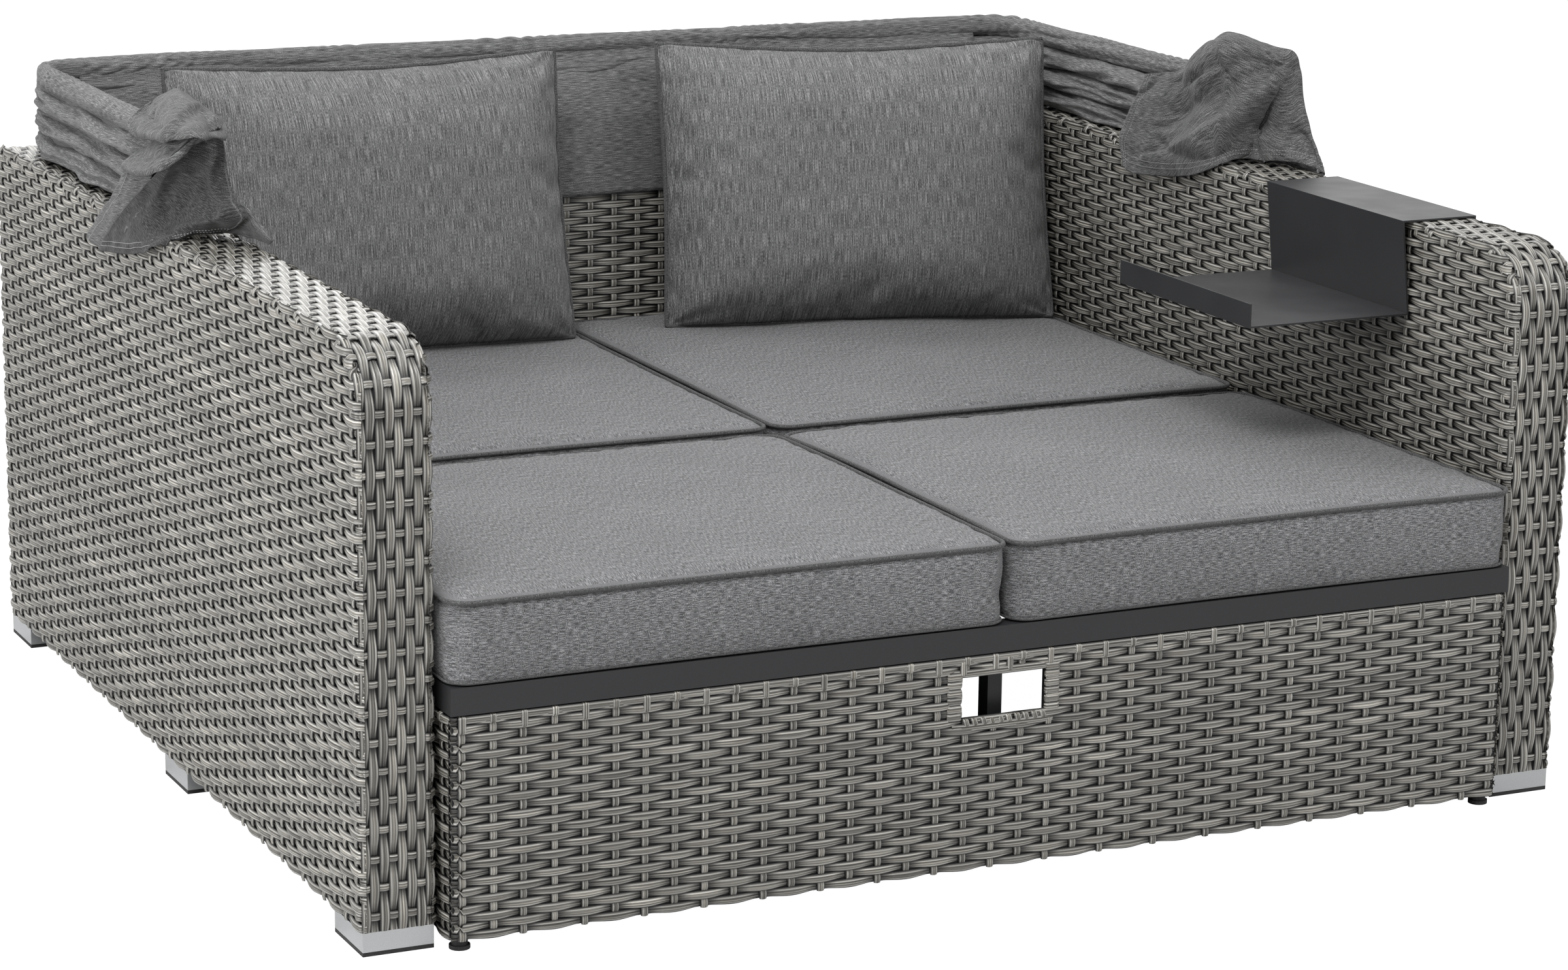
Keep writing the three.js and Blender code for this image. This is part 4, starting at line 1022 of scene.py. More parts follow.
def pillow_relief(points, u, v, seed):
    """How far a pillow's points move in depth: folds from its corners, crumples at its edge, broad swells."""
    corner = np.exp(-((1 - abs(u)) ** 2 + (1 - abs(v)) ** 2) / 0.16)
    edge = np.exp(-np.minimum(1 - abs(u), (1 - abs(v)) * 0.7) / 0.12)
    spokes = np.arctan2(1 - abs(v), 1 - abs(u))
    fold = np.cos(spokes * PILLOW_SPOKES + u * 3 + seed) * corner * PILLOW_FOLD
    crumple = ripple(points[:, 0], points[:, 2], PILLOW_CRUMPLE_SIZE, seed) * edge * PILLOW_CRUMPLE
    broad = ripple(points[:, 0], points[:, 2], PILLOW_SWELL_SIZE, seed + 5) * PILLOW_SWELL * (1 - edge)
    return np.where(points[:, 1] < 0, -1, 1) * (fold + crumple + broad)


def back_pillow(side, seed):
    """A soft pillow that leans against the back, with a piped seam all round."""
    columns, rows = PILLOW_STEPS
    u, v = np.meshgrid(eased(columns), eased(rows))
    front, rear = pillow_shape(u, v, seed)
    u, v = u.ravel(), v.ravel()
    rim = (abs(u) > ON_EDGE) | (abs(v) > ON_EDGE)
    inner = np.nonzero(~rim)[0]
    number = np.arange(len(u))
    number[inner] = len(u) + np.arange(len(inner))
    quads = grid_quads(rows, columns)
    every = np.concatenate([quads[:, ::-1], number[quads]])
    made = quad_mesh(f"back_pillow_{side}_cover", np.concatenate([front, rear[inner]]), every, PILLOW_FABRIC)
    pinned = np.concatenate([rim, np.zeros(len(inner), bool)])
    settle(made, pinned, PILLOW_PRESSURE, PILLOW_CAP)
    moved = points_of(made)
    relief = pillow_relief(moved, np.append(u, u[inner]), np.append(v, v[inner]), seed)
    moved[:, 1] += np.where(pinned, 0, relief)
    on_rear = moved[:, 1] > 0
    cloth = np.stack([moved[:, 0] + PILLOW_REAR_SHIFT * on_rear, moved[:, 2], 0 * relief], axis=1)
    placed = pillow_places(side, moved)
    placed[:, 1] = np.minimum(placed[:, 1], PILLOW_BACK_LIMIT)
    placed[:, 2] = np.maximum(placed[:, 2], PILLOW_BASE)
    move_points(made, placed)
    set_cloth(made, cloth)
    smoothed(made)
    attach(made, "daybed")
    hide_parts(f"back_pillow_{side}")
    path = smooth_ring(placed[grid_rim(rows, columns)])
    path[:, 2] = np.maximum(path[:, 2], PILLOW_BASE + PILLOW_PIPING)
    cord = tube_piece(f"back_pillow_{side}_piping", path, PILLOW_PIPING)
    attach(cord, "daybed")


for index, side in enumerate(("left", "right")):
    seat_cushion(f"front_seat_cushion_{side}", "bench", 31 + index)
    seat_cushion(f"rear_seat_cushion_{side}", "daybed", 41 + index)
    back_pillow(side, 51 + index)


# Canopy: gathered sleeves on the hoops, cloth between them, a valance, and cloth over each pivot

HOOP_LEG = 801 * MM
HOOP_REAR = 755.5 * MM
HOOP_CORNER = 50 * MM
HOOP_HEIGHTS = (761.05 * MM, 792.85 * MM, 824.65 * MM, 856.45 * MM)
ROLL_STEP = 5 * MM
ROLL_SIDES = 40
# Each sleeve's name, body, half width, half height, share of long folds, and front end
HOOPS = (
    ("base", "daybed", 27 * MM, 15.7 * MM, 1.0, 200 * MM),
    ("rear", "canopy_rear", 24 * MM, 15.6 * MM, 1.0, 190 * MM),
    ("middle", "canopy_middle", 25 * MM, 15.6 * MM, 1.0, 180 * MM),
    ("front", "canopy_front", 17.5 * MM, 16.5 * MM, 0.25, 130 * MM),
)
FOLD_SIZE = 150 * MM
FOLD_DEPTH = 5.5 * MM
GATHER_PITCH = 26 * MM
GATHER_DEPTH = 2.6 * MM
CREASE_DEPTH = 4.5 * MM
CREASE_WIDTH = 0.16
PINCHES = 16
PINCH_DEPTH = 6 * MM
CORNER_TUCK = 11 * MM
CORNER_REACH = 70 * MM
SLEEVE_ROUNDNESS = 2.15
SLEEVE_LOW_ROOM = 0.3 * MM
SLEEVE_HIGH_ROOM = 2.5 * MM
SLEEVE_END = 18 * MM
SLEEVE_SWELL_SIZE = 250 * MM
GATHER_SIZE = 120 * MM
GATHER_PATCH_SIZE = 200 * MM
PINCH_SLANT = 9
PINCH_REACH = (50 * MM, 130 * MM)
PINCH_WIDTH = (0.16, 0.34)
CREASE_DRIFT_SIZE = 500 * MM
# Angles of the long creases round a sleeve, and which way each drifts
CREASES = ((0.5, 1), (2.4, -1), (-2.7, 1))


def hoop_path(front, step):
    """The hoop's middle line in plan, from the left leg round the back to the right leg."""
    path = path_of([
        ((-HOOP_LEG, front), 0), ((-HOOP_LEG, HOOP_REAR), HOOP_CORNER),
        ((HOOP_LEG, HOOP_REAR), HOOP_CORNER), ((HOOP_LEG, front), 0),
    ])
    length = path[0][-1]
    s = np.linspace(0, length, int(length / step))
    x, y, out_x, out_y = along(path, s)
    return s, np.stack([x, y], axis=1), unit(np.stack([out_x, out_y], axis=1))


def pinches(run, angle, length, seed):
    """Short slanting creases here and there on a sleeve."""
    rng = np.random.default_rng(seed)
    total = np.zeros(run.shape)
    for _ in range(PINCHES):
        place, turn = rng.uniform(0, length), rng.uniform(-math.pi, math.pi)
        slant, reach = rng.uniform(-PINCH_SLANT, PINCH_SLANT), rng.uniform(*PINCH_REACH)
        width = rng.uniform(*PINCH_WIDTH)
        near = np.angle(np.exp(1j * (angle - turn - slant * (run - place))))
        total -= np.exp(-(near / width) ** 2 - ((run - place) / reach) ** 2)
    return total


def sleeve_relief(run, angle, folded, seed):
    """Heights of a sleeve's long folds, its short gathers and its creases."""
    around = np.stack([np.cos(angle), np.sin(angle)])
    folds = ripple(run / FOLD_SIZE + around[0] * 0.8, around[1] * 0.9, 1.0, seed) * FOLD_DEPTH * folded
    shift = 0.9 * ripple(run, angle * 0.03, GATHER_SIZE, seed + 2)
    phase = run / GATHER_PITCH + 0.4 * np.sin(angle + 1) + shift
    gather = 1.4 * abs(np.sin(math.pi * phase)) ** 0.8 - 0.9
    strength = 0.7 * ripple(run, around[0] * 0.05, GATHER_PATCH_SIZE, seed + 3)
    strength = np.clip(0.6 + strength, 0.12, 1.3)
    gathers = gather * strength * GATHER_DEPTH * (1.25 - folded)
    drift = 0.5 * ripple(run, 0 * run, CREASE_DRIFT_SIZE, seed + 1)
    creases = pinches(run, angle, run.max(), seed + 6) * PINCH_DEPTH * (0.3 + 0.7 * folded)
    for place, sign in CREASES:
        near = np.angle(np.exp(1j * (angle - place - drift * sign)))
        creases = creases - CREASE_DEPTH * (0.35 + folded * 0.65) * np.exp(-(near / CREASE_WIDTH) ** 2)
    return folds, gathers, creases


def sleeve(index):
    """A gathered sleeve of cloth round a hoop, with long folds, seam lines and short gathers across it."""
    name, body, half_width, half_height, folded, front = HOOPS[index]
    seed = 70 + 10 * index
    s, plan, outs = hoop_path(front, ROLL_STEP)
    turn = np.linspace(0, 2 * math.pi, ROLL_SIDES, endpoint=False)
    run, angle = np.meshgrid(s, turn, indexing="ij")
    around = np.stack([np.cos(angle), np.sin(angle)])
    wide, tall = np.sign(around) * abs(around) ** (2 / SLEEVE_ROUNDNESS)
    folds, gathers, creases = sleeve_relief(run, angle, folded, seed)
    swell = 1 + 0.2 * folded * ripple(run, 0 * run, SLEEVE_SWELL_SIZE, seed + 4)
    out_move = half_width * wide * swell + around[0] * (folds + gathers + creases)
    up_move = half_height * tall + around[1] * (0.35 * folds + gathers * 0.8 + creases * 0.7)
    up_move = np.clip(up_move, -half_height - SLEEVE_LOW_ROOM, half_height + SLEEVE_HIGH_ROOM)
    leg = HOOP_REAR - HOOP_CORNER - front + HOOP_CORNER * math.pi / 4
    corner = np.exp(-(np.minimum(abs(run - leg), abs(s[-1] - run - leg)) / CORNER_REACH) ** 2)
    out_move = out_move - np.clip(wide, 0, 1) * CORNER_TUCK * corner
    ends = np.minimum(run - s[0], s[-1] - run)
    close = np.sqrt(np.clip(ends / SLEEVE_END, 0.02, 1))
    out_move, up_move = out_move * close, up_move * close
    points = np.empty((*run.shape, 3))
    points[..., :2] = plan[:, None] + outs[:, None] * out_move[..., None]
    points[..., 2] = HOOP_HEIGHTS[index] + up_move
    quads = grid_quads(len(s), ROLL_SIDES, wrap=True)
    made = quad_mesh(f"canopy_{name}_sleeve_cloth", points.reshape(-1, 3), quads, CANOPY_FABRIC)
    cloth = np.zeros((*run.shape, 3))
    cloth[..., 0] = run
    cloth[..., 1] = angle * (half_width + half_height) / 2
    set_cloth(made, cloth)
    smoothed(made)
    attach(made, body)
    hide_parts(f"canopy_sleeve_{name}")


PANEL_ROWS = 18
PANEL_OUT = (5 * MM, 7 * MM)
PANEL_FRONT = 190 * MM
PIVOT_PLACE = 69.5 * MM
OPEN_SHARE = 0.72
PANEL_STEP = 8 * MM
PANEL_WAVE = 2.4 * MM
PANEL_WAVE_SIZE = 170 * MM
PANEL_RIPPLE = 0.9 * MM
PANEL_RIPPLE_SIZE = 50 * MM
PANEL_THICKNESS = 1.2 * MM


def between_hoops(index):
    """The cloth between two hoops, folded into a shallow pleat outside them."""
    s, plan, outs = hoop_path(PANEL_FRONT, PANEL_STEP)
    lower, upper = HOOP_HEIGHTS[index], HOOP_HEIGHTS[index + 1]
    share = np.linspace(0, 1, PANEL_ROWS)
    run, part = np.meshgrid(s, share, indexing="ij")
    middle = np.sin(math.pi * part)
    wave = ripple(run, part * 0.04, PANEL_WAVE_SIZE, 130 + index) * PANEL_WAVE * middle
    fine = ripple(run, part * 0.03, PANEL_RIPPLE_SIZE, 140 + index) * PANEL_RIPPLE * middle
    out_move = PANEL_OUT[0] + (PANEL_OUT[1] - PANEL_OUT[0]) * middle ** 2 + wave + fine
    points = np.empty((*run.shape, 3))
    points[..., :2] = plan[:, None] + outs[:, None] * out_move[..., None]
    points[..., 2] = lower + (upper - lower) * part
    name = f"canopy_cloth_{HOOPS[index][0]}_to_{HOOPS[index + 1][0]}"
    opened = part * OPEN_SHARE * (plan[:, 1:] - PIVOT_PLACE)
    cloth = np.stack([run, opened, 0 * run], axis=-1).transpose(1, 0, 2)
    made = cloth_piece(name, points.transpose(1, 0, 2), CANOPY_FABRIC, PANEL_THICKNESS, cloth)
    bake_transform(made)
    return made, (float(s[-1]), upper - lower)


for index in range(len(HOOPS)):
    sleeve(index)
for index in range(len(HOOPS) - 1):
    made, flat = between_hoops(index)


VALANCE_HALF = 738 * MM
VALANCE_LINE = (
    (742 * MM, 854 * MM), (738 * MM, 838 * MM), (726 * MM, 815 * MM), (713 * MM, 782 * MM),
    (704.5 * MM, 756 * MM), (702.5 * MM, 735 * MM), (702 * MM, 690 * MM), (702.5 * MM, 630 * MM),
)
VALANCE_FOLD = 2.6 * MM
VALANCE_FOLD_SIZE = 300 * MM
VALANCE_SWEEP = 2.2 * VALANCE_FOLD
VALANCE_SWEEP_SIZE = 260 * MM
VALANCE_RIPPLE = 0.6 * MM
VALANCE_RIPPLE_SIZE = 110 * MM
VALANCE_LIMITS = (-4.5 * MM, 1.2 * MM)
VALANCE_HEM_WAVE = 3 * MM
VALANCE_HEM_SIZE = 500 * MM
VALANCE_STEPS = (170, 60)
HEM = 22 * MM
HEM_THREAD_LIFT = 1.0 * MM


def valance():
    """The cloth that hangs from the front hoop over the back's edge and behind the pillows, with a hem."""
    columns, rows = VALANCE_STEPS
    line = spline(VALANCE_LINE, rows)[::-1]
    x, z = np.meshgrid(np.linspace(-VALANCE_HALF, VALANCE_HALF, columns), line[:, 1])
    low = (line[-1, 1] - z) / (line[-1, 1] - line[0, 1])
    middle = np.sin(math.pi * np.clip(low * 1.7, 0, 1))
    sweep = ripple(x + 0.5 * z, z * 2.2, VALANCE_SWEEP_SIZE, 160) * VALANCE_SWEEP * middle
    folds = np.clip(ripple(x, low * 0.05, VALANCE_FOLD_SIZE, 163), -1, 0.8) * VALANCE_FOLD
    fine = ripple(x + 0.2 * z, z * 0.4, VALANCE_RIPPLE_SIZE, 161) * VALANCE_RIPPLE
    drape = np.clip(sweep + folds + fine, *VALANCE_LIMITS)
    bottom = z + VALANCE_HEM_WAVE * ripple(x, 0 * x, VALANCE_HEM_SIZE, 162) * low ** 3
    points = np.stack([x, line[:, :1] + drape, bottom], axis=-1)
    made = cloth_piece("canopy_valance_cloth", points, CANOPY_FABRIC)
    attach(made, "canopy_front")
    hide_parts("canopy_valance")
    row = np.argmin(abs(z[:, 0] - (line[0, 1] + HEM)))
    normals = grid_normals(points)
    face = normals * np.sign(-normals[..., 1:2])
    hem = stitches("canopy_valance_hem", points[row] + face[row] * HEM_THREAD_LIFT, face[row])
    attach(hem, "canopy_front")


valance()


# Cloth over the pivots, in millimetres and for a right arm: each line of a flap runs from its crest down to
# its hem, and the lines follow each other round from the outer rear over the front to the inner rear

LEFT_FLAP = (
    ((800, 209, 888), (832, 175, 880), (842, 150, 857), (818, 150, 838),
     (851, 147, 818), (834, 120, 797), (861, 195, 745), (862, 250, 690)),
    ((800, 150, 905), (835, 115, 893), (846, 95, 864), (828, 95, 842),
     (854, 100, 822), (841, 85, 801), (863, 140, 740), (865, 205, 682)),
    ((800, 80, 920), (836, 50, 902), (849, 35, 870), (840, 40, 847),
     (856, 50, 828), (857, 65, 800), (866, 105, 735), (863, 155, 688)),
    ((800, 20, 924), (836, -10, 904), (846, -20, 873), (845, -15, 849),
     (846, 0, 826), (848, 15, 796), (854, 40, 746), (858, 72, 705)),
    ((800, -40, 917), (830, -62, 900), (836, -72, 872), (837, -70, 847),
     (839, -58, 823), (843, -42, 796), (850, -24, 757), (857, -6, 726)),
    ((797, -88, 915), (817, -118, 896), (824, -134, 869), (829, -140, 844),
     (833, -140, 820), (838, -128, 795), (843, -108, 768), (847, -85, 751)),
    ((795, -116, 909), (803, -144, 888), (804, -141, 862), (806, -148, 838),
     (808, -163, 815), (806, -176, 797), (801, -163, 776), (800, -105, 751)),
    ((790, -98, 911), (786, -104, 887), (784, -93, 860), (782, -100, 836),
     (782, -120, 812), (780, -140, 792), (777, -133, 772), (774, -98, 752)),
    ((788, -60, 912), (767, -46, 884), (762, -28, 858), (760, -33, 834),
     (758, -48, 808), (757, -70, 788), (754, -76, 770), (750, -66, 754)),
    ((792, 20, 916), (763, 20, 892), (751, 18, 862), (748, 14, 834),
     (747, 10, 808), (746, 6, 786), (745.5, 6, 770), (745, 6, 754)),
    ((798, 195, 889), (766, 205, 876), (753, 210, 856), (749, 215, 832),
     (747.5, 220, 808), (746.5, 225, 786), (746, 230, 770), (745.5, 235, 754)),
)
RIGHT_FLAP = (
    ((752, 207, 850), (750, 212, 837), (748, 222, 823), (747, 232, 806),
     (746, 243, 788), (745, 256, 768), (744, 266, 742), (745, 258, 704)),
    ((756, 165, 857), (750, 168, 843), (747, 175, 826), (745, 182, 806),
     (744, 190, 786), (743.5, 200, 762), (743, 212, 735), (744, 219, 698)),
    ((764, 118, 868), (753, 118, 855), (747, 122, 836), (744, 126, 812),
     (743, 128, 788), (743, 130, 765), (743, 132, 738), (744, 135, 707)),
    ((784, 98, 897), (764, 88, 889), (749, 77, 866), (745, 68, 838),
     (743, 61, 808), (742, 55, 780), (742, 50, 750), (744, 46, 722)),
    ((800, 68, 926), (780, 40, 912), (760, 22, 883), (755, 13, 850),
     (753, 8, 818), (750, 2, 790), (747, -2, 762), (749, -6, 741)),
    ((806, 36, 929), (797, 0, 914), (784, -22, 887), (780, -24, 856),
     (778, -20, 825), (777, -14, 797), (777, -10, 772), (779, -9, 751)),
    ((813, 6, 925), (812, -32, 909), (809, -50, 889), (808, -49, 862),
     (808, -37, 833), (808, -20, 800), (808, -14, 775), (806, -8, 751)),
    ((820, -6, 921), (820, -42, 906), (817, -54, 886), (815, -51, 862),
     (815, -38, 833), (815, -15, 797), (816, -21, 773), (815, -32, 751)),
    ((827, -12, 919), (838, -48, 908), (841, -54, 886), (842, -58, 857),
     (844, -62, 828), (847, -67, 800), (850, -75, 775), (854, -87, 752)),
    ((824, 2, 920), (852, -32, 905), (860, -34, 882), (863, -47, 848),
     (865, -62, 815), (867, -81, 785), (869, -101, 758), (868, -114, 734)),
    ((808, 60, 924), (850, 55, 901), (862, 52, 872), (866, 50, 838),
     (867, 45, 808), (868, 40, 778), (869, 35, 745), (868, 30, 708)),
    ((815, 160, 866), (845, 185, 864), (858, 200, 860), (863, 210, 830),
     (865, 220, 800), (866, 230, 770), (867, 240, 735), (867, 246, 695)),
)
# Loose layers on the left flap: name, rows and columns of its mesh, and its net
LEFT_PATCHES = (
    ("panel", 90, 110, (
        ((826, -101, 890), (816, -102, 890), (806, -104, 891), (797, -106, 890), (790, -103, 886)),
        ((850, -87, 862), (832, -90, 861), (815, -92, 860), (800, -99, 860), (786, -99, 858)),
        ((862, -32, 824), (840, -49, 824), (818, -63, 823), (798, -83, 825), (782, -109, 824)),
        ((868, 53, 780), (848, -1, 785), (824, -43, 788), (800, -87, 794), (778, -125, 799)),
        ((869, 138, 734), (857, 37, 747), (833, -30, 760), (803, -87, 773), (777, -148, 783)),
        ((868, 211, 688), (867, 60, 709), (858, -47, 737), (816, -54, 749), (773, -46, 749)),
    )),
    ("upper", 50, 90, (
        ((825, 95, 902), (815, 104, 907), (805, 95, 914), (795, 69, 923),
         (785, 22, 913), (780, -23, 906), (778, -61, 902)),
        ((840, 115, 888), (832, 96, 896), (822, 52, 908), (812, 3, 919),
         (800, -34, 910), (788, -59, 903), (780, -83, 898)),
        ((850, 121, 872), (848, 62, 882), (842, -7, 895), (832, -60, 903),
         (818, -93, 904), (800, -102, 899), (784, -106, 893)),
        ((848, 111, 859), (850, 39, 866), (850, -37, 876), (846, -104, 886),
         (836, -150, 895), (816, -152, 893), (794, -126, 884)),
        ((834, 140, 857), (832, 87, 861), (830, 23, 870), (826, -39, 879),
         (816, -80, 888), (802, -97, 889), (788, -91, 884)),
    )),
    ("lower", 36, 70, (
        ((846, 99, 837), (838, 68, 855), (830, 37, 872), (822, 2, 886), (812, -34, 894)),
        ((861, 110, 820), (860, 37, 839), (854, -26, 860), (838, -55, 878), (820, -76, 891)),
        ((862, 80, 814), (863, -1, 825), (857, -57, 843), (843, -92, 863), (822, -102, 886)),
        ((850, 72, 817), (848, 19, 826), (842, -29, 844), (830, -62, 865), (814, -76, 885)),
    )),
    ("strip", 50, 24, (
        ((858, 111, 815), (856, 52, 820), (850, 4, 827)),
        ((864, 133, 782), (861, 80, 785), (856, 25, 791)),
        ((868, 196, 742), (866, 126, 748), (862, 54, 759)),
        ((869, 263, 699), (868, 223, 693), (867, 145, 699)),
    )),
    ("corner", 14, 26, (
        ((779, -120, 802), (771, -136, 798), (762, -166, 780), (754, -183, 766)),
        ((777, -127, 781), (769, -139, 777), (760, -162, 766), (752, -185, 759)),
        ((773, -48, 749), (760, -68, 750), (751, -105, 750), (745, -146, 750)),
    )),
)
# Folds: a line in rows and columns of the net, its height, and its width on either side
PATCH_FOLDS = {
    "panel": (
        (((3.2, 4.0), (3.9, 3.2), (4.4, 2.2), (4.7, 1.2)), 4.5, 0.5, 0.2),
        (((0.3, 0.9), (2.0, 1.1), (4.2, 1.6)), -5.5, 0.8, 0.8),
        (((0.4, 3.2), (1.6, 3.0), (3.0, 3.4)), 4, 0.3, 0.5),
        (((1.6, 0.4), (2.8, 0.8), (3.8, 0.9)), 3.5, 0.25, 0.35),
    ),
    "upper": (
        (((0.2, 4.4), (1.2, 3.7), (2.2, 2.9), (3.2, 2.2)), 5, 0.7, 0.14),
        (((0.6, 5.6), (1.6, 5.0), (3.0, 4.4)), -4, 0.3, 0.4),
        (((1.0, 0.4), (1.6, 1.4), (2.4, 2.0)), -4, 0.3, 0.3),
        (((2.6, 1.0), (2.7, 2.6), (2.4, 4.2)), 2.5, 0.25, 0.25),
    ),
    "lower": (
        (((0.6, 0.8), (1.2, 1.8), (1.4, 3.0)), -4, 0.25, 0.35),
        (((1.6, 0.6), (2.0, 1.8), (2.0, 3.2)), 3, 0.3, 0.3),
    ),
    "strip": ((((0.2, 1.2), (1.6, 1.3), (2.8, 1.6)), -4.5, 0.25, 0.4),),
    "corner": (),
}
RIGHT_FOLDS = (
    (((2.61, 6.23), (3.1, 5.57), (3.6, 5.05), (4.33, 4.38), (4.98, 3.5), (5.54, 2.45)), 8, 0.25, 1.1),
    (((1.85, 5.73), (2.46, 4.91), (3.16, 4.05), (3.51, 2.73)), -8, 0.9, 0.7),
    (((1.41, 6.26), (1.26, 5.6), (1.41, 4.96), (1.61, 4.63), (1.9, 4.38)), 6, 0.9, 0.13),
    (((0.35, 4.58), (1.03, 4.3), (1.49, 4.27), (1.9, 4.38)), 6, 0.12, 0.9),
    (((2.14, 2.87), (2.11, 3.42), (1.99, 3.78), (1.9, 4.33)), -7, 0.25, 0.25),
    (((0.3, 3.3), (0.9, 3.7), (1.5, 4.0)), 5, 0.5, 0.35),
    (((1.14, 2.01), (2.96, 2.65), (3.78, 2.43), (4.33, 1.87)), -4, 0.3, 0.3),
    (((2.02, 3.78), (2.52, 3.45), (3.05, 3.14)), 3, 0.25, 0.25),
    (((2.37, 1.27), (3.92, 1.71), (5.45, 1.57)), 2.5, 0.5, 0.3),
    (((0.3, 0.9), (1.2, 0.8), (2.2, 0.3)), -2.5, 0.2, 0.3),
    (((5.42, 6.6), (5.83, 7.33), (6.5, 7.61), (6.97, 7.94)), 5, 0.7, 0.25),
    (((5.2, 8.2), (6.0, 8.5), (7.0, 8.9)), -5, 0.3, 0.3),
    (((1.0, 8.4), (3.0, 9.2), (5.0, 9.8)), 3.0, 0.5, 0.5),
    (((5.6, 2.2), (6.2, 3.2), (6.4, 4.4)), -3, 0.3, 0.5),
)
RIGHT_SEAM = (
    (1.05, 6.12), (1.49, 6.53), (2.02, 6.75), (2.9, 6.86), (3.95, 7.06),
    (4.69, 7.17), (5.13, 6.9), (5.54, 7.0), (6.44, 6.97), (7.0, 7.06),
)
SEAM_DEPTH = 3.2
SEAM_WIDTH = 0.12
LEFT_BASE_INSET = 7 * MM
BASE_LOW, BASE_HIGH = 770 * MM, 900 * MM
BASE_FRONT = (28 * MM, -120 * MM)
FLAP_ROWS = 110
FLAP_COLUMNS = 190
FLAP_WRINKLE = 1.1 * MM
FOLD_GAIN = 1.6
RIGHT_GAIN = 1.25
FOLD_STEPS = 40
FOLD_LEAN = 0.08
FOLD_POWER = 1.6
SEAM_STEPS = 60
SEAM_SMOOTHINGS = 3
FLAP_HEM_ROWS = 7
FLAP_SIDE_COLUMNS = 4
ARM_REST = TOP + 1.5 * MM
ARM_ROOM = 2 * MM
LEFT_OUTER_ROOM = 5 * MM
FLAP_THICKNESS = 1.8 * MM
FLAP_WRINKLE_SIZE = 45 * MM
FLAP_MIDDLE = (ARM_MIDDLE, 0.08, 0.8)
FLAP_THREAD_LIFT = 0.9 * MM
HEM_THREAD_GAP = 4
SIDE_THREAD_GAP = 3
PANEL_SEAM_START = 8
PANEL_SEAM_COLUMN = -3
PATCH_THREADS = {"panel": ((0, -5), (0, -8)), "strip": ((1, 4),)}
SEAM_RADIUS = 1.7 * MM
SEAM_LIFT = 2.2 * MM


def fold_field(row, column, folds):
    """Heights of folds along lines in rows and columns of a net, with one width for each side of a line."""
    total = np.zeros(row.shape)
    for line, height, before, after in folds:
        line = spline(line, FOLD_STEPS)
        ahead = unit(np.gradient(line, axis=0))
        down, along_row = row[..., None] - line[:, 0], column[..., None] - line[:, 1]
        gaps = np.hypot(down, along_row)
        nearest = gaps.argmin(axis=-1)[..., None]
        gap = np.take_along_axis(gaps, nearest, -1)[..., 0]
        crossing = np.take_along_axis(ahead[:, 0] * along_row - ahead[:, 1] * down, nearest, -1)[..., 0]
        lean = np.clip(crossing / FOLD_LEAN, -1, 1) * 0.5 + 0.5
        width = before + (after - before) * lean
        total += FOLD_GAIN * height * MM * np.exp(-(gap / width) ** FOLD_POWER)
    return total


def net_grid(net, rows, columns):
    """Row and column numbers over a net's loft."""
    down, across = np.linspace(0, net.shape[0] - 1, rows), np.linspace(0, net.shape[1] - 1, columns)
    return np.meshgrid(down, across, indexing="ij")


def off_arm(points):
    """Keeps a right arm's cloth on the arm's top and clear of its sides."""
    x, z = points[..., 0], points[..., 2]
    over = (x > ARM_INNER + ARM_ROOM) & (x < ARM_OUTER - ARM_ROOM)
    points[..., 2] = np.where(over, np.maximum(z, ARM_REST), z)
    hangs = points[..., 2] < TOP
    x = np.where(hangs & (x > ARM_MIDDLE), np.maximum(x, ARM_OUTER + ARM_ROOM), x)
    points[..., 0] = np.where(hangs & (x < ARM_MIDDLE), np.minimum(x, ARM_INNER - ARM_ROOM), x)
    return points


def outward_normals(points):
    """Normals of a flap's grid, turned away from the flap's middle."""
    middle = np.array(FLAP_MIDDLE) * (math.copysign(1, points[0, 0, 0]), 1, 1)
    normals = grid_normals(points)
    return normals * np.where((normals * (points - middle)).sum(-1, keepdims=True) < 0, -1, 1)


def draped(net, rows, columns, folds, seed, inset=0, gain=1.0):
    """A cloth over the right arm from its net in millimetres: its points with folds and fine wrinkles."""
    net = np.array(net, float) * MM
    points = loft(net, rows, columns)
    row, column = net_grid(net, rows, columns)
    wrinkle = ripple(points[..., 1] + points[..., 0], points[..., 2], FLAP_WRINKLE_SIZE, seed) * FLAP_WRINKLE
    rise = np.clip(row, 0, 1) * (gain * fold_field(row, column, folds) + wrinkle) - inset
    return off_arm(points + outward_normals(points) * rise[..., None])


def thread_rows(name, points, picks):
    """Rows of stitches along rows and columns of a cloth. picks are (axis, index)."""
    normals = outward_normals(points)
    rows = []
    for number, (axis, index) in enumerate(picks):
        path, outs = np.take(points, index, axis), np.take(normals, index, axis)
        rows.append(stitches(f"{name}_stitches_{number}", path + outs * FLAP_THREAD_LIFT, outs))
    return rows


def seam_cord(name, points, shape, line):
    """A thin cord in a seam that runs along a line in rows and columns of a net, dark as painted shade of the
    seam's shadow line.
    """
    size = np.array(points.shape[:2]) - 1
    places = np.round(spline(line, SEAM_STEPS) / (np.array(shape[:2]) - 1) * size).astype(int)
    i, j = np.clip(places, 0, size).T
    path = (points + outward_normals(points) * SEAM_LIFT)[i, j]
    for _ in range(SEAM_SMOOTHINGS):
        path[1:-1] = (path[:-2] + 2 * path[1:-1] + path[2:]) / 4
    return tube_piece(name, path, SEAM_RADIUS, closed=False)


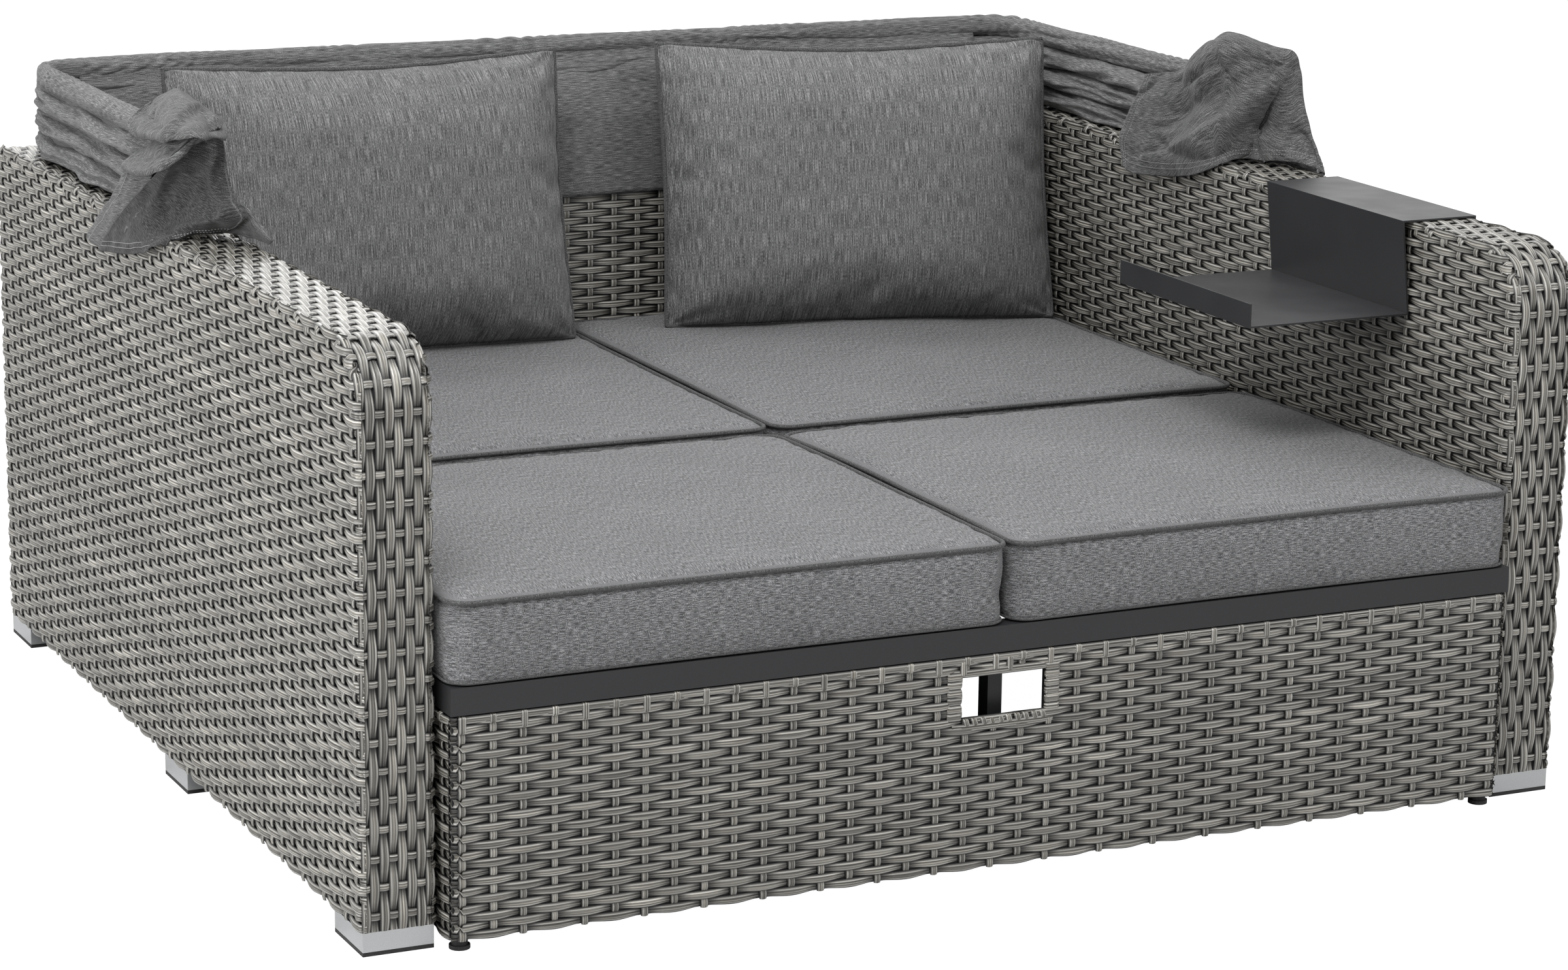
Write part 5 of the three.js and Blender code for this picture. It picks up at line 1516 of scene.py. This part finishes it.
def left_base(points):
    """Keeps the left flap's base on the arm and behind the layers that lie on it."""
    points[..., 2] = np.maximum(points[..., 2], ARM_REST)
    points[..., 0] = np.minimum(points[..., 0], ARM_OUTER - LEFT_OUTER_ROOM)
    rise = np.clip((points[..., 2] - BASE_LOW) / (BASE_HIGH - BASE_LOW), 0, 1)
    points[..., 1] = np.maximum(points[..., 1], BASE_FRONT[0] + (BASE_FRONT[1] - BASE_FRONT[0]) * rise)
    return points


def left_layers(seed):
    """The loose layers of cloth on the left flap, with their stitches and the panel's seam cord, dark as
    painted shade.
    """
    parts = []
    for name, down, across, patch in LEFT_PATCHES:
        cloth = draped(patch, down, across, PATCH_FOLDS[name], seed + len(parts))
        cloth[..., 0] *= -1
        label = f"canopy_flap_left_{name}"
        # The panel gets the darkest copy of the canopy cloth as painted shadow, and the other layers get the
        # darkened copy as painted shade
        parts.append(cloth_piece(label, cloth, PAINTED_SHADOW_PANEL_FABRIC if name == "panel" else PAINTED_SHADE_FLAP_FABRIC))
        parts += thread_rows(label, cloth, PATCH_THREADS.get(name, ()))
        if name == "panel":
            seam = cloth[PANEL_SEAM_START:, PANEL_SEAM_COLUMN]
            parts.append(tube_piece(label + "_seam", seam, SEAM_RADIUS, closed=False))
    return parts


def right_threads(points, shape):
    """The stitches along the right flap's hem and side, and the cord in its seam, dark as painted shade."""
    hem, side = -FLAP_HEM_ROWS, FLAP_SIDE_COLUMNS
    picks = ((0, hem), (0, hem - HEM_THREAD_GAP), (1, side), (1, side + SIDE_THREAD_GAP))
    parts = thread_rows("canopy_flap_right", points, picks)
    return parts + [seam_cord("canopy_flap_right_seam", points, shape, RIGHT_SEAM)]


def flap(side, sign, lines, folds, seed):
    """One pivot's cloth: a loose hood of folds over the arm, hemmed and stitched."""
    net = np.array(lines, float).transpose(1, 0, 2)
    left = side == "left"
    points = draped(net, FLAP_ROWS, FLAP_COLUMNS, folds, seed, LEFT_BASE_INSET if left else 0, RIGHT_GAIN)
    if left:
        points = left_base(points)
    points[..., 0] *= sign
    # The flap's cloth is the canopy cloth darkened as painted shade
    made = cloth_piece(f"canopy_flap_{side}_cloth", points, PAINTED_SHADE_FLAP_FABRIC, FLAP_THICKNESS)
    parts = left_layers(seed) if left else right_threads(points, net.shape)
    for part in [made] + parts:
        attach(part, "daybed")
        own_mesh(part)
    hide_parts(f"canopy_flap_{side}")


flap("left", -1, LEFT_FLAP, (), 171)
flap("right", 1, RIGHT_FLAP, RIGHT_FOLDS + ((RIGHT_SEAM, -SEAM_DEPTH, SEAM_WIDTH, SEAM_WIDTH),), 181)


# Woven arms, back and bench

# How much further in than the edge's radius strands begin to dip, and how near an outline they end
DIP_REACH = 2 * MM
SIDE_END = 1.5 * MM


def arm_path(inset):
    """The arm's side outline from the front's foot over the top to the rear's foot, in Y and Z."""
    front, rear, top = FRONT + inset, REAR - inset, TOP - inset
    radius, small = ARM_FRONT_RADIUS - inset, ARM_REAR_RADIUS - inset
    return path_of([
        ((front, BOTTOM), 0), ((front, top), radius), ((rear, top), small), ((rear, BOTTOM), 0),
    ])


def arm_room(s, t):
    """How far places on an arm's side lie inside its outline."""
    def corner(edge, radius, sign):
        centre_s, centre_t = edge + sign * radius, TOP - radius
        to_s, to_t = (centre_s - s) * sign, t - centre_t
        away = radius - np.hypot(to_s, to_t)
        return np.where((to_s > 0) & (to_t > 0), away, np.minimum((s - edge) * sign, TOP - t))
    return np.minimum(corner(FRONT, ARM_FRONT_RADIUS, 1), corner(REAR, ARM_REAR_RADIUS, -1))


def edge_drop(room):
    """How far strands near an edge dip as they turn under it."""
    near = np.clip(EDGE_RADIUS - room + DIP_REACH, 0, EDGE_RADIUS)
    return -(EDGE_RADIUS - np.sqrt(EDGE_RADIUS ** 2 - near ** 2))


def side_panel(name, x, sign, seed):
    """The woven side of an arm: wefts from front to rear, clipped to the arm's outline."""
    def chart(s, t, h):
        return x + sign * h, s, t
    weave = Weave(name)
    panel(
        weave, chart, (FRONT, REAR), (BOTTOM, TOP), seed,
        inside=lambda s, t: arm_room(s, t) > SIDE_END,
        drop=lambda s, t: edge_drop(arm_room(s, t)),
    )
    return weave.piece("daybed")


def arm_band(name, middle, seed):
    """The band over an arm's front, top and rear."""
    path = arm_path(SURFACE_INSET)
    width = ARM_OUTER - ARM_INNER - 2 * SIDE_INSET
    def place(u, v, side):
        return middle + side, u, v
    chart = strip_chart(path, place, edge_bend(width))
    weave = Weave(name)
    band(weave, chart, path[0][-1], width, seed)
    return weave.piece("daybed")


def shadow_core_piece(name, outline, low, high):
    """A dark shell just under the strands, painted shade seen through their gaps. outline is its edge in Y and
    Z, low and high are its ends.
    """
    count = len(outline)
    points = [(x, y, z) for x in (low, high) for y, z in outline]
    faces = [(i, i + 1, count + i + 1, count + i) for i in range(count - 1)]
    faces.append(tuple(range(count))[::-1])
    faces.append(tuple(range(count, 2 * count)))
    made = mesh_piece(name, points, faces, SHADOW_CORE)
    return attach(made, "daybed")


for side, sign in (("left", -1), ("right", 1)):
    seed = WEAVE_SEED + 100 * (sign + 1)
    side_panel(f"{side}_arm_outer_strands", sign * (ARM_OUTER - SIDE_INSET), sign, seed)
    side_panel(f"{side}_arm_inner_strands", sign * (ARM_INNER + SIDE_INSET), -sign, seed + 10)
    arm_band(f"{side}_arm_band_strands", sign * ARM_MIDDLE, seed + 20)
    outline = [tuple(p) for p in arm_path(CORE_INSET)[1][::6]]
    low, high = sorted((sign * (ARM_INNER + CORE_INSET), sign * (ARM_OUTER - CORE_INSET)))
    core = shadow_core_piece(f"{side}_arm_shadow_core", outline, low, high)
    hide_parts(f"{side}_arm_weave")


def back_weave():
    """The back between the arms: rear face, front face and the band on top."""
    half = BACK_HIGH.x
    rear, front, top = REAR - SURFACE_INSET, BACK_LOW.y + SIDE_INSET, TOP - SURFACE_INSET
    def rear_chart(s, t, h):
        return s, rear + h, t
    def front_chart(s, t, h):
        return s, front - h, t
    def drop(s, t):
        return edge_drop(TOP - t)
    for name, chart, seed in (("rear", rear_chart, 300), ("front", front_chart, 310)):
        weave = Weave(f"back_{name}_strands")
        panel(weave, chart, (-half, half), (BOTTOM, top), WEAVE_SEED + seed, drop=drop)
        weave.piece("daybed")
    weave = Weave("back_top_strands")
    width = REAR - BACK_LOW.y - 2 * SURFACE_INSET
    middle = (REAR + BACK_LOW.y) / 2
    def place(u, v, side):
        return u, middle + side, top + v
    chart = strip_chart(line_path(-half, half), place, edge_bend(width))
    band(weave, chart, 2 * half, width, WEAVE_SEED + 320)
    weave.piece("daybed")
    near, far, high = BACK_LOW.y + CORE_INSET, REAR - CORE_INSET, TOP - CORE_INSET
    outline = [
        (near, BOTTOM), (near, high), (far - CORE_INSET, high), (far, high - CORE_INSET), (far, BOTTOM),
    ]
    core = shadow_core_piece("back_shadow_core", outline, -half + CORE_INSET, half - CORE_INSET)
    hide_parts("back_weave")


back_weave()


APRON_RADIUS = 7 * MM
APRON_LOW_ROOM = 1 * MM
APRON_TOP_ROOM = 2 * MM
LOOP_LENGTH = 15 * MM
SHORT_LOOP = 0.35 * LOOP_LENGTH
LOOP_BACK = 9 * MM
LOOP_RISE = 3.4 * MM
LOOP_EDGE = 1 * MM
LOOP_END_IN = 2.5 * MM
LOOP_END_DOWN = 3 * MM
LOOP_TURN_STEPS = 9
LOOP_FRONT_STEPS = 7
LOOP_BACK_STEPS = 4
TOP_LOOP_OUT = 0.2 * MM
TOP_STRAND_DROP = 4.5 * MM
TOP_STRAND_RISE = 2.2 * MM
TOP_STRAND_WIDTH = 0.9 * STRAND_WIDTH
SLOT_LEVEL = 0.4 * MM
SLOT_ROOM = 2 * MM
SLOT_TURN_START = 5 * MM
SLOT_TURN_PITCH = 12 * MM
SLOT_TURN = 4 * MM
SLOT_TURN_WIDTH = 9 * MM
SLOT_SLANT = 4 * MM
SLOT_HANGER_PLACES = (2 * MM, 8 * MM)
SLOT_SIDE_START = 4 * MM
SLOT_SIDE_PITCH = 10.5 * MM
SLOT_SIDE_LENGTH = 13 * MM
SLOT_SIDE_WIDTH = 11 * MM
SILL_REACH = 12 * MM
SILL_STEPS = 40
SILL_PLACES = (3.5 * MM, -11 * MM)
SILL_RISE = 2.6 * MM
SILL_DIP = 3 * MM
SILL_DIP_START = 0.9
SILL_DIP_SHARE = 0.3
CORE_WRAP = 4.5 * MM
CORE_DEPTH = 20 * MM
CORE_SIDE = 12 * MM
CORE_LOW_ROOM = 2 * MM
CORE_TOP_ROOM = 3 * MM


def block(name, low, high):
    """A plain dark block of painted shade behind the bench's strands, never seen but through their gaps."""
    x0, y0, z0 = low
    x1, y1, z1 = high
    points = [(x, y, z) for z in (z0, z1) for y in (y0, y1) for x in (x0, x1)]
    faces = [(0, 2, 3, 1), (4, 5, 7, 6), (0, 1, 5, 4), (2, 6, 7, 3), (0, 4, 6, 2), (1, 3, 7, 5)]
    made = mesh_piece(name, points, faces, SHADOW_CORE)
    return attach(made, "bench")


def apron_shadow_core():
    """Dark backing of painted shade behind the apron's strands, open at the handle slot."""
    outer = APRON_HIGH.x - CORE_INSET
    front, rear, back = APRON_LOW.y + CORE_INSET, APRON_LOW.y + CORE_DEPTH, APRON_HIGH.y
    low, high = APRON_LOW.z + CORE_LOW_ROOM, APRON_HIGH.z - CORE_TOP_ROOM
    left, right = HANDLE_SLOT[0] - CORE_WRAP, HANDLE_SLOT[1] + CORE_WRAP
    slot_low, slot_high = HANDLE_SLOT[2] - CORE_WRAP, HANDLE_SLOT[3] + CORE_WRAP
    blocks = {
        "left": ((-outer, front, low), (left, rear, high)),
        "right": ((right, front, low), (outer, rear, high)),
        "low": ((left, front, low), (right, rear, slot_low)),
        "high": ((left, front, slot_high), (right, rear, high)),
        "side_left": ((-outer, rear, low), (-outer + CORE_SIDE, back, high)),
        "side_right": ((outer - CORE_SIDE, rear, low), (outer, back, high)),
    }
    made = [block(f"bench_apron_shadow_core_{name}", *ends) for name, ends in blocks.items()]
    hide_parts("bench_apron_weave")


def over_edge(place, out, up, length):
    """Centres and outs of a strand that comes from behind over an edge and down its front."""
    turn = np.linspace(math.pi, 0, LOOP_TURN_STEPS)
    rear = [(-LOOP_RISE, -t) for t in np.linspace(LOOP_BACK, LOOP_EDGE, LOOP_BACK_STEPS)]
    arc = [(LOOP_RISE * math.cos(a), LOOP_RISE * math.sin(a)) for a in turn]
    front = [(LOOP_RISE, -t) for t in np.linspace(LOOP_EDGE, length, LOOP_FRONT_STEPS)]
    profile = np.array(rear + arc + front + [(LOOP_RISE - LOOP_END_IN, -length - LOOP_END_DOWN)])
    ahead = np.gradient(profile, axis=0)
    facing = unit(np.stack([-ahead[:, 1], ahead[:, 0]], axis=1))
    return place + profile @ np.array([out, up]), facing @ np.array([out, up])


def add_loops(weave, loops, width, seed):
    """Adds strands that turn over an edge. loops are pairs of centres and outs."""
    centres, outs = (np.array(part) for part in zip(*loops))
    weave.strands(centres, outs, np.full(centres.shape[:2], width), seed)


def slot_trim(trim, chart, middle, front):
    """Strands round the handle slot: turns over its lower edge, hangers, sills, and turns at both sides."""
    left, right, low, high = HANDLE_SLOT
    out, up, aside = np.array([0.0, -1.0, 0.0]), np.array([0.0, 0.0, 1.0]), np.array([1.0, 0.0, 0.0])
    level = front + SLOT_LEVEL
    turns = [
        over_edge(np.array([x, level, low - LOOP_RISE]), out, up, SLOT_TURN)
        for x in np.arange(left + SLOT_TURN_START, right, SLOT_TURN_PITCH)
    ]
    for centres, _ in turns:
        centres[:, 0] += np.linspace(0, SLOT_SLANT, len(centres))
    add_loops(trim, turns, SLOT_TURN_WIDTH, WEAVE_SEED + 413)
    hangers = [
        over_edge(np.array([start + place, level, high + LOOP_RISE]), out, -up, LOOP_LENGTH)
        for start, place in zip((left, (left + right) / 2), SLOT_HANGER_PLACES)
    ]
    add_loops(trim, hangers, WARP_WIDTH, WEAVE_SEED + 414)
    sill = np.linspace(left - SILL_REACH, right + SILL_REACH, SILL_STEPS)[None]
    end = np.clip(abs(sill - (left + right) / 2) / (right - left) * 2 - SILL_DIP_START, 0, 1) / SILL_DIP_SHARE
    for edge, place in zip((high, low), SILL_PLACES):
        rise = SILL_RISE - SILL_DIP * end
        trim.add(chart, sill + middle, np.full(sill.shape, edge + place), rise,
                 np.full(sill.shape, STRAND_WIDTH), WEAVE_SEED + 415)
    sides = [
        over_edge(np.array([x, level, z]), out, sign * aside, SLOT_SIDE_LENGTH)
        for x, sign in ((left - LOOP_RISE, 1), (right + LOOP_RISE, -1))
        for z in np.arange(low + SLOT_SIDE_START, high + SLOT_ROOM, SLOT_SIDE_PITCH)
    ]
    add_loops(trim, sides, SLOT_SIDE_WIDTH, WEAVE_SEED + 412)


def apron_weave():
    """The bench's woven apron: front and both sides in one run, with the handle slot left open."""
    half = APRON_HIGH.x - SURFACE_INSET
    front, rear = APRON_LOW.y + SURFACE_INSET, APRON_HIGH.y
    lengths, points, outs = path_of([
        ((-half, rear), 0), ((-half, front), APRON_RADIUS), ((half, front), APRON_RADIUS), ((half, rear), 0),
    ])
    path = (lengths, points, -outs)
    low, high = APRON_LOW.z + APRON_LOW_ROOM, APRON_HIGH.z - APRON_TOP_ROOM
    def chart(s, t, h):
        u, v, out_u, out_v = along(path, s)
        return u + out_u * h, v + out_v * h, t
    left, right, slot_low, slot_high = HANDLE_SLOT
    def inside(s, t):
        u, v, _, _ = along(path, s)
        across = (u > left) & (u < right) & (v < front + APRON_RADIUS)
        return ~(across & (t > slot_low - SLOT_ROOM) & (t < slot_high + SLOT_ROOM))
    weave = Weave("bench_apron_strands")
    panel(weave, chart, (0, lengths[-1]), (low, high), WEAVE_SEED + 400, inside=inside)
    weave.piece("bench")
    trim = Weave("bench_apron_trim")
    columns = round(lengths[-1] / WARP_PITCH)
    edge = np.linspace(0, lengths[-1], 4 * columns)[None]
    level, rise, width = [
        np.full(edge.shape, value) for value in (high - TOP_STRAND_DROP, TOP_STRAND_RISE, TOP_STRAND_WIDTH)
    ]
    trim.add(chart, edge, level, rise, width, WEAVE_SEED + 410)
    loops = []
    for column in range(columns):
        s = np.array((column + 0.5) * (lengths[-1] / columns))
        u, v, out_u, out_v = [float(value) for value in along(path, s)]
        out = np.array([out_u, out_v, 0])
        place = np.array([u, v, high - LOOP_RISE]) + out * TOP_LOOP_OUT
        loops.append(over_edge(place, out, np.array([0, 0, 1]), LOOP_LENGTH if column % 2 else SHORT_LOOP))
    add_loops(trim, loops, WARP_WIDTH, WEAVE_SEED + 411)
    slot_trim(trim, chart, lengths[-1] / 2, front)
    trim.piece("bench")


apron_shadow_core()
apron_weave()


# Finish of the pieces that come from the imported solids

BEVELS = {"side_tray": 0.5 * MM, "bench_frame": 1.0 * MM}
COATED = ("left_arm_frame", "right_arm_frame", "back_frame", "rear_deck_frame", "bench_frame", "side_tray")

for name, made in nodes.items():
    if name in COATED or name.startswith(("canopy_hoop", "canopy_bracket")):
        finish = FRAME_METAL
    elif name.startswith("foot_"):
        finish = ALUMINIUM
    elif name.startswith(("pad_", "bench_glide", "bench_guide")):
        finish = RUBBER
    elif "bolt" in name or "nut" in name or "screw" in name:
        finish = STEEL
    else:
        continue
    made.data.materials.clear()
    made.data.materials.append(finish)
    if name in BEVELS:
        bevel = made.modifiers.new("Rounded edges", "BEVEL")
        bevel.width = BEVELS[name]
        bevel.segments = 2
        bevel.limit_method = "ANGLE"


# Floor, light and camera

FLOOR_HALF = 12
FLOOR_GREY = 0.6
FLOOR_SHARE = 0.86
FLOOR_STRENGTH = 1.16
WHITE = (1, 1, 1, 1)
WORLD_GAIN = 1.5
WORLD_UP = [(0.5, 0.15), (0.7, 0.27), (1.0, 0.35)]
GLOSS_UP = [(0.5, 0.3), (0.75, 0.75), (1.0, 1.0)]
GLOSS_BACK = [(0.6, 0.0), (0.8, 0.67)]


def floor_material():
    """A pale floor: white to the camera, with a soft shadow."""
    material, tree, shader = material_named("studio_floor")
    shader.inputs["Base Color"].default_value = (FLOOR_GREY, FLOOR_GREY, FLOOR_GREY, 1)
    shader.inputs["Roughness"].default_value = 0.9
    shader.inputs["Specular IOR Level"].default_value = 0.1
    shine = node(tree, "ShaderNodeEmission", Color=WHITE, Strength=FLOOR_STRENGTH)
    rays = tree.nodes.new("ShaderNodeLightPath")
    mixed = tree.nodes.new("ShaderNodeMixShader")
    seen = math_node(tree, "MULTIPLY", rays.outputs["Is Camera Ray"], FLOOR_SHARE)
    tree.links.new(seen, mixed.inputs[0])
    tree.links.new(shader.outputs[0], mixed.inputs[1])
    tree.links.new(shine.outputs[0], mixed.inputs[2])
    tree.links.new(mixed.outputs[0], tree.nodes["Material Output"].inputs[0])
    return material


def make_world():
    """A soft surround: dim and lighter overhead as light, brighter overhead and at the back in reflections,
    and white to the camera."""
    world = bpy.data.worlds.new("studio")
    bpy.context.scene.world = world
    world.use_nodes = True
    tree = world.node_tree
    lit = tree.nodes["Background"]
    parts = tree.nodes.new("ShaderNodeSeparateXYZ")
    tree.links.new(tree.nodes.new("ShaderNodeTexCoord").outputs["Generated"], parts.inputs[0])
    to_back, height = [halved(tree, parts.outputs[axis]) for axis in (1, 2)]
    rays = tree.nodes.new("ShaderNodeLightPath")
    glossy = mix_colour(tree, "MIX", ramp(tree, to_back, GLOSS_BACK), ramp(tree, height, GLOSS_UP), WHITE[:3])
    colour = mix_colour(tree, "MIX", rays.outputs["Is Glossy Ray"], ramp(tree, height, WORLD_UP), glossy)
    tree.links.new(colour, lit.inputs[0])
    lit.inputs[1].default_value = WORLD_GAIN
    white = node(tree, "ShaderNodeBackground", Color=WHITE, Strength=1.0)
    seen = math_node(tree, "MAXIMUM", rays.outputs["Is Camera Ray"], rays.outputs["Is Transmission Ray"])
    mixed = tree.nodes.new("ShaderNodeMixShader")
    tree.links.new(seen, mixed.inputs[0])
    tree.links.new(lit.outputs[0], mixed.inputs[1])
    tree.links.new(white.outputs[0], mixed.inputs[2])
    tree.links.new(mixed.outputs[0], tree.nodes["World Output"].inputs[0])


def area_light(name, place, target, size, power):
    """A square soft light that faces a target."""
    lamp = bpy.data.lights.new(name, "AREA")
    lamp.size = size
    lamp.energy = power
    made = bpy.data.objects.new(name, lamp)
    made.location = place
    made.rotation_mode = "QUATERNION"
    made.rotation_quaternion = (Vector(target) - Vector(place)).to_track_quat("-Z", "Y")
    bpy.context.scene.collection.objects.link(made)


# Each light's place, target, size and power
LIGHTS = {
    "key_light": ((-1.8, -2.4, 4.8), (0, 0, 0.3), 2.0, 168),
    "left_light": ((-3.6, -0.5, 1.2), (-0.8, 0, 0.3), 1.2, 54),
    "fill_light": ((3.0, -3.4, 3.0), (0, 0, 0.4), 2.0, 44),
    "back_light": ((0.2, 3.2, 3.4), (0, 0, 0.4), 3.0, 78),
}

make_world()
corners = [(x * FLOOR_HALF, y * FLOOR_HALF, 0) for x, y in ((-1, -1), (1, -1), (1, 1), (-1, 1))]
floor = mesh_piece("studio_floor", corners, [(0, 1, 2, 3)], floor_material())
for name, values in LIGHTS.items():
    area_light(name, *values)

IMAGE_WIDTH = 2400
CAMERA_PLACE = (-2.4384, -5.2895, 1.7325)
CAMERA_FOCAL_PIXELS = 6492
CAMERA_YAW = 0.4416
CAMERA_PITCH = 0.2362
CAMERA_ROLL = 0.0127
SENSOR = 36
CLIP = (0.05, 100)


def make_camera():
    """The photograph's viewpoint, fitted to the daybed's straight edges."""
    data = bpy.data.cameras.new("view")
    data.sensor_fit = "HORIZONTAL"
    data.sensor_width = SENSOR
    data.lens = CAMERA_FOCAL_PIXELS / IMAGE_WIDTH * SENSOR
    data.clip_start, data.clip_end = CLIP
    camera = bpy.data.objects.new("view", data)
    bpy.context.scene.collection.objects.link(camera)
    look = Vector((
        math.sin(CAMERA_YAW) * math.cos(CAMERA_PITCH),
        math.cos(CAMERA_YAW) * math.cos(CAMERA_PITCH),
        -math.sin(CAMERA_PITCH),
    ))
    level = Vector((math.cos(CAMERA_YAW), -math.sin(CAMERA_YAW), 0))
    upright = level.cross(look)
    right = math.cos(CAMERA_ROLL) * level + math.sin(CAMERA_ROLL) * upright
    up = math.cos(CAMERA_ROLL) * upright - math.sin(CAMERA_ROLL) * level
    turn = Matrix((right, up, -look)).transposed()
    camera.matrix_world = Matrix.Translation(CAMERA_PLACE) @ turn.to_4x4()
    bpy.context.scene.camera = camera


make_camera()
bpy.context.scene.view_settings.view_transform = "Standard"
